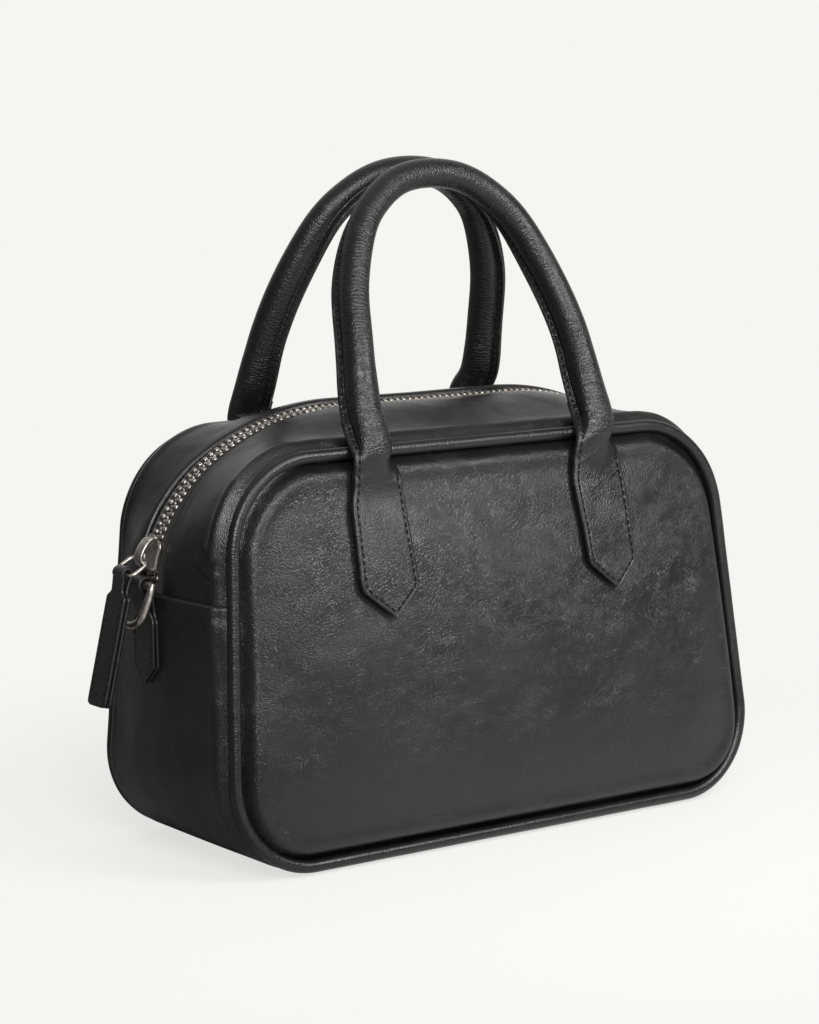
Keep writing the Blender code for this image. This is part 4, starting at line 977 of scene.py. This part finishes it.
def handle_rows(side):
    """Rows of the left half, from the tab's tip to the top of the arch: a place, its frame and its sizes."""
    lean, base, wide, bowed, feet = ARCHES[side]
    lean = math.radians(lean)
    path = []
    for rise, out in zip((0.0, 0.0045, 0.0120, 0.0210), feet):
        z = CREASE_HEIGHT + rise
        path.append(Vector((-LEG_X, panel_plane(side, LEG_X, z) + side * out, z)))
    for across, up in ARCH_SHARES:
        reach = ARCH_HEIGHT * up
        z = ARCH_BASE + reach * math.cos(lean)
        bow = side * curve_at(ARCH_BOWS, z) * bowed
        path.append(Vector((-LEG_X * across * wide, base - side * reach * math.sin(lean) + bow, z)))
    smooth_path = smooth_line(path + [mirrored(path[-2])], 14)[:-14]
    inward = Vector((0, -side * math.cos(lean), -math.sin(lean)))
    rows = []
    heights = [TAB_TIP + offset for offset in (0, 0.00005, 0.0002, 0.0005, 0.0009, 0.0014)]
    while heights[-1] < CREASE_HEIGHT - 0.0008:
        heights.append(heights[-1] + (0.0009 if heights[-1] < 0.1415 else 0.0004))
    flat_across = Vector((-side, 0, 0))
    for z in heights:
        spot = Vector((-LEG_X, panel_plane(side, LEG_X, z) + side * TAB_OUT, z))
        rows.append({"z": z, "spot": spot, "across": flat_across, "out": Vector((0, side, 0)), "twist": 0})
    for k, spot in enumerate(smooth_path):
        before = smooth_path[k - 1] if k else spot - Vector((0, 0, 0.001))
        top = k == len(smooth_path) - 1
        along = Vector((1, 0, 0)) if top else (smooth_path[k + 1] - before).normalized()
        across = inward.cross(along).normalized()
        rise = (spot.z - 0.215) / (smooth_path[-1].z - 0.215)
        rows.append({"z": spot.z, "spot": spot, "across": across, "out": across.cross(along).normalized(),
                     "twist": math.radians(curve_at(FLANGE_TURNS, spot.z)) * (1 - smooth(rise))})
    for row in rows:
        z = row["z"]
        row["side"] = side
        row["open"] = curve_at(OPEN_SHARES, z) if z > CREASE_HEIGHT else 1.0
        row["half"] = tab_half(z)
        row["leather"] = lerp(ROLL_LEATHER, TAB_LEATHER, row["open"])
        row["wide"] = curve_at(ROLL_HALF_WIDTHS, z)
        row["deep"] = curve_at(ROLL_HALF_DEPTHS, z)
        row["pinch"] = math.asin((row["leather"] + 0.00005) / row["wide"])
        row["turned"] = (row["wide"] + row["deep"]) / 2 * (math.pi - row["pinch"])
        row["total"] = row["turned"] + curve_at(FLANGES, z)
        if z > CREASE_HEIGHT and row["open"] > 0:
            row["curl"] = curl(row)
    return rows


def wrapped_point(row, b):
    """Place and facing on the closed roll's section, at a distance b from the line opposite its flange."""
    turn = Matrix.Rotation(-row["twist"], 2)
    angle = min(max(b / row["turned"], -1), 1) * (math.pi - row["pinch"])
    way = turn @ Vector((math.sin(angle), math.cos(angle)))
    place = Vector((way.x * row["wide"], way.y * row["deep"]))
    past = abs(b) - row["turned"]
    if past <= 0:
        return place, Vector((way.x / row["wide"], way.y / row["deep"])).normalized()
    return place + turn @ Vector((0, -past)), turn @ Vector((math.copysign(1, b), 0))


def curl(row, steps=160):
    """The half-open section: the closed roll, uncurled from its flange's edge by the row's open share."""
    share = row["open"]
    closed = [wrapped_point(row, row["total"] * (2 * k / steps - 1))[0] for k in range(steps + 1)]
    flat_y = flat_face(row, 0) - row_out(row)
    spot = closed[0].lerp(Vector((-row["half"], flat_y)), share)
    line = [(spot, Vector((0, 1)))]
    angle = 0
    for a, b in zip(closed, closed[1:]):
        turn = math.atan2(b.y - a.y, b.x - a.x) - angle
        angle += (turn + math.pi) % math.tau - math.pi
        kept = angle * (1 - share)
        spot = spot + Vector((math.cos(kept), math.sin(kept))) * lerp((b - a).length, 2 * row["half"] / steps, share)
        line.append((spot, Vector((-math.sin(kept), math.cos(kept)))))
    return line


def tab_half(z):
    """Half width of the flat end: a rounded tip, straight sides to the shoulders, then narrower to the neck."""
    up = z - TAB_TIP
    tip = 0.0024
    if up < tip * 0.214:
        return max(math.sqrt(max(tip ** 2 - (tip - up) ** 2, 0)), 0.00015)
    edge = TAB_HALF * (up + tip * 0.273) / (TAB_POINT + tip * 0.273)
    body = lerp(TAB_HALF, NECK_HALF, (z - TAB_TIP - TAB_POINT) / (CREASE_HEIGHT - TAB_TIP - TAB_POINT))
    body -= 0.0010 * smooth((z - SWELL_FROM) / 0.0080)
    gap = (edge - body) / 0.0008
    return body + 0.0008 * (gap if gap < -8 else -math.log(1 + math.exp(-gap)) if gap < 30 else 0)


def row_out(row):
    """How far the row's middle lies outside its panel's plane."""
    return (row["spot"].y - panel_plane(row["side"], LEG_X, row["z"])) * row["side"]


def flat_face(row, a):
    """Distance of the flat leather's face from the panel's plane, swelling over the end of the cord."""
    z = row["z"]
    swell = smooth((z - SWELL_FROM) / 0.0230)
    face = lerp(TAB_FACE, row_out(row) + row["deep"], swell) - 0.0022 * swell * (a / max(row["half"], 0.001)) ** 2
    return face - 0.00016 * hump(row["half"] - abs(a) - 0.0022, 0.0006) * (1 - swell)


def handle_point(row, across, edge, depth, hand, inset=None):
    """A point of the handle's leather, and which way its outer face looks there.

    across runs from -1 to 1, or inset gives a distance from the edge that across names.
    hand is 1 on the left leg and -1 on the right one, which is mirrored: the flange keeps to one side of both.
    """
    side = row["side"]
    leather = row["leather"]
    z = row["z"]
    round_edge = min(leather / 2, row["half"] * 0.8)
    a = across * (row["half"] - round_edge) + edge * round_edge
    if inset is not None:
        a = across * max(row["half"] - inset * (1.5 if z < TAB_TIP + TAB_POINT else 1), 0)
    x = -LEG_X - side * a + hand * 0.0008 * smooth((0.112 - z) / 0.016)
    x -= 0.00035 * (1 + hand) * smooth((0.1455 - z) / 0.012)
    if hand < 0 and side == FRONT:
        x += 0.0030 - 0.0009 * smooth((0.142 - z) / 0.030) + a * lerp(-0.085, 0.07, smooth((z - 0.107) / 0.038))
    face = flat_face(row, a) - 0.0004 * hump(z - 0.154 - hand * 0.4 * (x + LEG_X), 0.0018)
    flat = Vector((x, panel_plane(side, x, z) + side * (panel_bulge(side, x, z) + face - depth * leather), z))
    if z <= CREASE_HEIGHT:
        return flat, Vector((0, side, 0))
    size = row["total"]
    b = across * (size - leather / 2) + edge * leather / 2
    if inset is not None:
        b = across * (size - inset * size / lerp(size, row["half"], row["open"]))
    if row["open"] <= 0:
        place, facing = wrapped_point(row, b * hand)
    else:
        index = (b * hand / size + 1) / 2 * (len(row["curl"]) - 1)
        low = min(max(int(index), 0), len(row["curl"]) - 2)
        (place, facing), (after, facing_after) = row["curl"][low:low + 2]
        place = place.lerp(after, index - low)
        facing = facing.lerp(facing_after, index - low).normalized()
    place = place - facing * depth * leather
    turned = row["spot"] + row["across"] * hand * place.x + row["out"] * place.y
    facing = row["across"] * hand * facing.x + row["out"] * facing.y
    if row["open"] > 0:
        level = flat_face(row, 0) - row_out(row) - depth * leather
        turned += (flat - row["spot"] - row["across"] * a - row["out"] * level) * row["open"]
    return turned, facing


def mirrored(point):
    return Vector((-point.x, point.y, point.z))


def make_handles():
    loop = strip_section(64, 6, 16)
    for word, side in SIDES:
        body = f"{word}_handle"
        rows = handle_rows(side)
        last = len(rows) - 1
        walked = line_lengths([row["spot"] for row in rows])
        walked += [2 * walked[-1] - length for length in reversed(walked[:-1])]

        def place(i, j):
            if j <= last:
                return handle_point(rows[j], *loop[i], 1)[0]
            return mirrored(handle_point(rows[2 * last - j], *loop[i], -1)[0])

        bm = warped_grid(len(loop), 2 * last, place, 0.05, walked, ring=True, caps=True)
        leather = finish_piece(f"{word}_handle_leather", bm, HANDLE_CALF, None,
                               [f"{word}_handle_roll", f"{word}_handle_tab_left", f"{word}_handle_tab_right"])
        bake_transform(leather)
        bm = bmesh.new()
        kept = [row for row in rows if row["half"] > 0.0034]
        for edge in (-1, 1):
            left = [handle_point(row, edge, 0, 0, 1, 0.0021) for row in kept]
            right = [handle_point(row, edge, 0, 0, -1, 0.0021) for row in reversed(kept[:-1])]
            points = [point for point, _ in left] + [mirrored(point) for point, _ in right]
            ways = [way for _, way in left] + [mirrored(way) for _, way in right]
            add_stitches(bm, points, ways, *HANDLE_STITCHES)
        stitches = finish_piece(f"{word}_handle_stitches", bm, THREAD, None)
        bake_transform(stitches)
        line = [row for row in rows if row["z"] > OPEN_SHARES[-1][0]]
        spine = [row["spot"] for row in line] + [mirrored(row["spot"]) for row in reversed(line[:-1])]

        def rope(i, j):
            before = spine[max(j - 1, 0)]
            after = spine[min(j + 1, len(spine) - 1)]
            along = (after - before).normalized()
            over = WIDE.cross(along).normalized()
            turn = math.tau * i / 18
            size = 0.0038 * (1 + 0.07 * math.cos(3 * (turn - j * 0.22)))
            return spine[j] + (over * math.cos(turn) + along.cross(over) * math.sin(turn)) * size

        bm = warped_grid(18, len(spine) - 1, rope, 0.025, 0.3, ring=True, caps=True)
        finish_piece(f"{word}_handle_cord", bm, CORD, body, [f"{word}_handle_core"])


# Zip pull
def slider_point(along, across, level):
    return zip_point(SLIDER_AT + along, across, level)


SLIDER_AT = ZIP_CORNER_RADIUS * math.asin(0.0173 / ZIP_CORNER_RADIUS) - 0.0016
RING_WIRE = 0.0008
RING_WIDTH = 0.0100
PULLER_LENGTH = 0.0515
PULLER_HALF = 0.0065
PULLER_CORNER = 0.0022
# Where the ring runs through the slider's bridge, and where the puller hangs on it
RING_EYE = slider_point(-0.0019, 0, 0.0060)
PULLER_EYE = Vector((-0.144304, 0.008278, 0.114082))
RING_WAY = (PULLER_EYE - RING_EYE).normalized()
RING_REACH = (PULLER_EYE - RING_EYE).length


def boxed(share, power=4):
    """Point of a rounded square's edge, at a share of the way round."""
    across, up = math.cos(math.tau * share), math.sin(math.tau * share)
    shape = (abs(across) ** power + abs(up) ** power) ** (-1 / power)
    return across * shape, up * shape


def soft_box(stations, width_at, low, high, place, sides=20, power=4):
    """A closed body along stations: a rounded box section between two levels, place(along, across, level)."""
    def corner(i, j):
        across, up = boxed(i / sides, power)
        return place(stations[j], width_at(stations[j]) * across, (low + high) / 2 + (high - low) / 2 * up)

    return warped_grid(sides, len(stations) - 1, corner, ring=True, caps=True)


def join_bodies(parts):
    """Several bodies in one mesh."""
    bm = bmesh.new()
    for part in parts:
        mesh = bpy.data.meshes.new("part")
        part.to_mesh(mesh)
        part.free()
        bm.from_mesh(mesh)
        bpy.data.meshes.remove(mesh)
    return bm


def make_slider():
    """Shield-shaped plate with a wall down each side, a hooked bridge on its back and a knob at its head."""
    half = 0.0064

    def stations_to(reach, count):
        return [-reach * math.cos(math.pi * k / count) for k in range(count + 1)]

    def plate_half(along):
        share = along / half
        width = lerp(0.0041, 0.0054, smooth(share * 0.9 + 0.35))
        return width * max(1 - abs(share) ** 4, 0.02) ** 0.4

    parts = [soft_box(stations_to(half, 24), plate_half, 0.0009, 0.0020, slider_point, 28, 5)]
    for hand in (-1, 1):
        def wall(along, across, level):
            return slider_point(along, hand * (plate_half(along) - 0.0006) + across, level)

        parts.append(soft_box(stations_to(half * 0.93, 18), lambda s: 0.00055, -0.0014, 0.0024, wall, 12))
    hook = [Vector((s, 0, level)) for s, level in (
        (0.0060, 0.0014), (0.0058, 0.0034), (0.0048, 0.0048), (0.0014, 0.0066), (-0.0014, 0.0075),
        (-0.0031, 0.0068), (-0.0041, 0.0050), (-0.0048, 0.0031), (-0.0049, 0.0012))]
    hook = smooth_line(hook, 5)

    def bridge(i, j):
        along = (hook[min(j + 1, len(hook) - 1)] - hook[max(j - 1, 0)]).normalized()
        across, up = boxed(i / 20)
        spot = hook[j] + Vector((-along.z, 0, along.x)) * 0.00075 * up
        return slider_point(spot.x, 0.0023 * across, spot.z)

    parts.append(warped_grid(20, len(hook) - 1, bridge, ring=True, caps=True))
    knob = [0.0052 + 0.0024 * (1 - math.cos(math.pi * k / 10)) / 2 for k in range(11)]
    parts.append(soft_box(knob, lambda s: 0.0024 * math.sqrt(max(1 - ((s - 0.0064) / 0.00125) ** 2, 0.01)),
                          0.0004, 0.0034, slider_point))
    finish_piece("zip_slider_cast", join_bodies(parts), NICKEL, "zip_slider", ["zip_slider"])


def rounded_loop(centre, long_way, wide_way, length, width, radius, steps):
    """Points round a rectangle with rounded corners."""
    points = []
    for long_side, wide_side, start in ((1, -1, -0.5), (1, 1, 0), (-1, 1, 0.5), (-1, -1, 1)):
        corner = (centre + long_way * long_side * (length / 2 - radius)
                  + wide_way * wide_side * (width / 2 - radius))
        for step in range(steps + 1):
            turn = math.pi * (start + step / steps / 2)
            points.append(corner + (long_way * math.cos(turn) + wide_way * math.sin(turn)) * radius)
    return points


def make_pull():
    """The ring in the slider's bridge, and the folded and stitched leather puller on it."""
    centre = RING_EYE + RING_WAY * RING_REACH / 2
    roll = math.radians(20)
    over = WIDE * math.cos(roll) + Vector((RING_WAY.z, 0, -RING_WAY.x)) * math.sin(roll)
    points = rounded_loop(centre, RING_WAY, over, RING_REACH, RING_WIDTH - 2 * RING_WIRE, 0.0030, 9)
    ring = swept_tube(points, RING_WIRE, 14, True, RING_WAY.cross(over))
    finish_piece("pull_ring_wire", ring, NICKEL, "pull_ring", ["pull_ring"])
    lean = math.radians(13)
    down = Vector((-math.sin(lean), 0, -math.cos(lean)))
    out = Vector((-math.cos(lean), 0, math.sin(lean)))
    leather = 0.0017
    body = [PULLER_EYE + down * lerp(PULLER_LENGTH, 0.0075, k / 12) for k in range(13)]
    line = hairpin(PULLER_EYE, body, out, RING_WIRE + 0.0005, leather)
    lengths = line_lengths([point for point, _ in line])
    total = lengths[-1]
    halves = []
    for length in lengths:
        walked = min(length, total - length)
        left = max(PULLER_CORNER - walked, 0)
        end = PULLER_HALF - PULLER_CORNER + math.sqrt(PULLER_CORNER ** 2 - left ** 2)
        halves.append(lerp(end, 0.0038, smooth((walked - 0.0418) / 0.0030)))
    finish_piece("zip_puller_leather", strap_strip(line, halves, leather), STRAP_CALF, "zip_puller",
                 ["zip_puller"])
    for face, start in (("front", 0.0015), ("back", total - 0.0410)):
        stitched_rows(line, halves, leather, 0.0018, start, start + 0.0395, "zip_puller",
                      f"zip_puller_stitches_{face}")


# Side straps and rings
def side_ring_eye(side):
    z = SEAM_HEIGHT + 0.0064
    return Vector((side * (panel_half_width(z) + SIDE_BULGE + 0.0072), zip_middle_y(z), z))


def make_side_straps():
    leather = 0.0016
    wire = 0.00165
    for word, side in (("left", -1), ("right", 1)):
        eye = side_ring_eye(side)
        heights = [lerp(0.0705, 0.0975, k / 10) for k in range(11)]
        body = [Vector((side * (panel_half_width(z) + SIDE_BULGE + lap_level(SEAM_HEIGHT - z) + 0.00185), eye.y, z))
                for z in heights]
        line = hairpin(eye, body, Vector((side, 0, 0)), wire + 0.0004, leather)
        lengths = line_lengths([point for point, _ in line])
        halves = [strap_half(min(length, lengths[-1] - length), tip=0.0016, point=0.0060, full=0.0073, loop=0.0050,
                             neck=0.0235, start=0.0290) for length in lengths]
        finish_piece(f"side_strap_{word}_leather", strap_strip(line, halves, leather), STRAP_CALF, "bag_body",
                     [f"side_strap_{word}"])
        stitched_rows(line, halves, leather, 0.0017, 0.0030, 0.0265, "bag_body", f"side_strap_{word}_stitches")
        lean = math.radians(17)
        down = Vector((side * math.sin(lean), 0, -math.cos(lean)))
        half = 0.0107 - wire
        drop = 0.0195 - 2 * wire
        points = [eye + WIDE * half * (k / 6 - 1) for k in range(12)]
        for step in range(29):
            turn = math.pi * step / 28
            points.append(eye + down * ((drop - half) * smooth(math.sin(turn) * 1.4) + half * math.sin(turn))
                          + WIDE * half * math.cos(turn))
        ring = swept_tube(points[:-1], wire, 16, True, WIDE.cross(down))
        finish_piece(f"side_ring_{word}_wire", ring, NICKEL, f"side_ring_{word}",
                     [f"side_ring_{word}"])


# Bottom and inside
def make_base():
    """The patch under the bottom; the board and the zip's stops keep their solids and get a better material."""
    half_long, half_wide, flat_long = 0.102, 0.0437, 0.0942

    def under(i, j):
        x = lerp(-half_long, half_long, i / 60)
        y = lerp(-half_wide, half_wide, j / 24)
        past = max(abs(x) - flat_long, 0)
        lift = BOTTOM_RADIUS - math.sqrt(BOTTOM_RADIUS ** 2 - past ** 2)
        edge = min(half_long - abs(x), half_wide - abs(y))
        return Vector((x, y, lift + 0.0006 * (1 - smooth(edge / 0.0025))))

    bm = warped_grid(60, 24, under, 0.204, 0.087, flip=True)
    patch = finish_piece("base_patch_leather", bm, GUSSET_CALF, "bag_body", ["base_patch"])
    thicken(patch, 0.0014)
    for name, material in (("base_board", BOARD), ("zip_top_stop_front", NICKEL), ("zip_top_stop_back", NICKEL),
                           ("zip_bottom_stop", NICKEL)):
        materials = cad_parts[name].data.materials
        materials.clear()
        materials.append(material)


def make_inner_cloth():
    """The lining strip round the inside, and the slip pocket on the back lining."""
    stations = [Station(place) for place in outline_walk(0, 5, 120)]

    def strip(i, j):
        station = stations[j]
        under = smooth(-station.way.z)
        level = -lerp(0.0030, 0.0052, under) - 0.0012 * (1 - under)
        share = lerp(0.0062 / station.depth, 1 - 0.0062 / station.depth, i / 24)
        return station.point(share, level - 0.0004 * noise.noise(Vector((i * 0.4, j * 0.3, 3))))

    bm = warped_grid(24, 120, strip, 0.08, 0.6, flip=True)
    cloth = finish_piece("gusset_lining_cloth", bm, LINING, "bag_body", ["gusset_lining"])
    thicken(cloth, CLOTH)

    def pocket(i, j):
        x = lerp(-0.065, 0.065, i / 30)
        z = lerp(0.045, 0.115, j / 20)
        slack = 0.0008 * smooth(j / 20) * (1 - (x / 0.065) ** 2)
        return Vector((x, panel_plane(BACK, x, z) + panel_bulge(BACK, x, z) - 0.0038 - slack, z))

    bm = warped_grid(30, 20, pocket, 0.13, 0.07)
    cloth = finish_piece("inner_pocket_cloth", bm, LINING, "bag_body", ["inner_pocket"])
    thicken(cloth, 0.0008)


make_panels()
make_pipings()
make_zip_strips()
make_lower_gusset()
make_zip()
make_handles()
make_slider()
make_pull()
make_side_straps()
make_base()
make_inner_cloth()


# Stage
BACKDROP = "#f5f5f2"
# Painted dark reflection: the floor's colour as mirrored rays see it on the left, in place of a black flag as it
# would stand in a studio
PAINTED_DARK_REFLECTION = "#868583"
# Name, turn to the right of the front and rise over the floor in degrees, power, distance and size
LAMPS = (("key", 18, 44, 8, 1.7, 0.8), ("sheen", 26, 27, 1.9, 0.64, 0.24), ("fill", -30, 30, 22, 1.7, 0.8))
ROOM_LEVEL = 0.06
ROOM_LOBES = (((0.707, 0.707, 0), 0.86), ((0.35, 0.94, 0), 0.2), ((0, 0.3, 0.95), 0.45))


def seen_share(tree, mirrored_share):
    """Share of a ray that sees the flat backdrop: camera and transmission rays do, glossy ones by their share."""
    path = add_node(tree, "LightPath", output=None).outputs
    seen = add_node(tree, "Math", (path["Is Camera Ray"], path["Is Transmission Ray"]), operation="MAXIMUM")
    glossy = add_node(tree, "Math", (path["Is Glossy Ray"], mirrored_share), operation="MULTIPLY")
    return add_node(tree, "Math", (seen, glossy), operation="MAXIMUM")


def right_of_sight_line(tree, way, reach):
    """1 on the right of the line of sight through the bag, 0 on its left, where mirrored rays see no backdrop but the
    dim room and the floor's painted dark reflection.
    """
    aside = add_node(tree, "VectorMath", (way, (-0.8, 0.6, 0)), "Value", operation="DOT_PRODUCT")
    return add_node(tree, "ValToRGB", (aside,), stops=((0.0, 1.0), (reach, 0.0)))


def make_stage():
    """Pale floor that runs into the backdrop's colour away from the bag.

    Mirrored rays see it painted darker on the bag's left: a painted dark reflection in place of a black flag.
    """
    bm = bmesh.new()
    bmesh.ops.create_grid(bm, x_segments=1, y_segments=1, size=30)
    mesh = bpy.data.meshes.new("floor")
    bm.to_mesh(mesh)
    bm.free()
    material, tree, shader, spots = new_material("painted studio floor")
    place = spots["Object"]
    glow = add_node(tree, "Emission", {"Color": linear(BACKDROP), "Strength": 1.0})
    far = add_node(tree, "VectorMath", (place,), "Value", operation="LENGTH")
    far = add_node(tree, "ValToRGB", (far,), stops=((0.12, 0.76), (0.34, 1.0)))
    clear = right_of_sight_line(tree, place, 0.08)
    share = add_node(tree, "Math", (seen_share(tree, clear), far), operation="MULTIPLY")
    # Mirrored rays that land on the floor left of the bag see a painted dark reflection in place of a black flag
    dark_reflection_share = add_node(tree, "Math", (1.0, clear), operation="SUBTRACT")
    mirrored_ray = add_node(tree, "LightPath", output="Is Glossy Ray")
    dark_reflection_share = add_node(tree, "Math", (mirrored_ray, dark_reflection_share), operation="MULTIPLY")
    set_inputs(tree, shader, {
        "Base Color": add_node(tree, "ValToRGB", (dark_reflection_share,), stops=((0.0, BACKDROP), (1.0, PAINTED_DARK_REFLECTION))),
        "Roughness": 0.9,
        "Specular IOR Level": 0.1})
    mixed = add_node(tree, "MixShader", (share, shader.outputs[0], glow))
    tree.links.new(mixed, tree.nodes["Material Output"].inputs["Surface"])
    mesh.materials.append(material)
    floor = bpy.data.objects.new("floor", mesh)
    bpy.context.scene.collection.objects.link(floor)


def make_lamps():
    """Soft boxes round the bag."""
    for name, turn, rise, power, reach, size in LAMPS:
        turn, rise = math.radians(turn), math.radians(rise)
        way = Vector((math.sin(turn) * math.cos(rise), -math.cos(turn) * math.cos(rise), math.sin(rise)))
        lamp = bpy.data.lights.new(name, "AREA")
        lamp.shape = "DISK"
        lamp.size = size
        lamp.energy = power
        item = bpy.data.objects.new(name, lamp)
        item.location = Vector((0, 0, 0.1)) + way * reach
        item.rotation_euler = (-way).to_track_quat("-Z", "Y").to_euler()
        bpy.context.scene.collection.objects.link(item)


def make_world():
    """A studio that is bright behind the bag on its right and dim on its left; the backdrop is pale."""
    world = bpy.data.worlds.new("studio")
    bpy.context.scene.world = world
    world.use_nodes = True
    tree = world.node_tree
    way = add_node(tree, "TexCoord", output="Generated")
    level = ROOM_LEVEL
    for toward, strength in ROOM_LOBES:
        lobe = add_node(tree, "VectorMath", (way, toward), "Value", operation="DOT_PRODUCT")
        lobe = add_node(tree, "Math", (lobe, 0.0), operation="MAXIMUM")
        lobe = add_node(tree, "Math", (lobe, 3.0), operation="POWER")
        level = add_node(tree, "Math", (lobe, strength, level), operation="MULTIPLY_ADD")
    room = tree.nodes["Background"]
    set_inputs(tree, room, {"Color": (1, 1, 1, 1), "Strength": level})
    backdrop = add_node(tree, "Background", {"Color": linear(BACKDROP), "Strength": 1.0})
    behind = add_node(tree, "VectorMath", (way, (0.6, 0.8, 0)), "Value", operation="DOT_PRODUCT")
    behind = add_node(tree, "ValToRGB", (behind,), stops=((0.9, 0.0), (0.97, 1.0)))
    behind = add_node(tree, "Math", (behind, right_of_sight_line(tree, way, 0.05)), operation="MULTIPLY")
    mixed = add_node(tree, "MixShader", (seen_share(tree, behind), room.outputs[0], backdrop))
    tree.links.new(mixed, tree.nodes["World Output"].inputs["Surface"])


make_stage()
make_world()
make_lamps()
bpy.context.scene.view_settings.view_transform = "Standard"
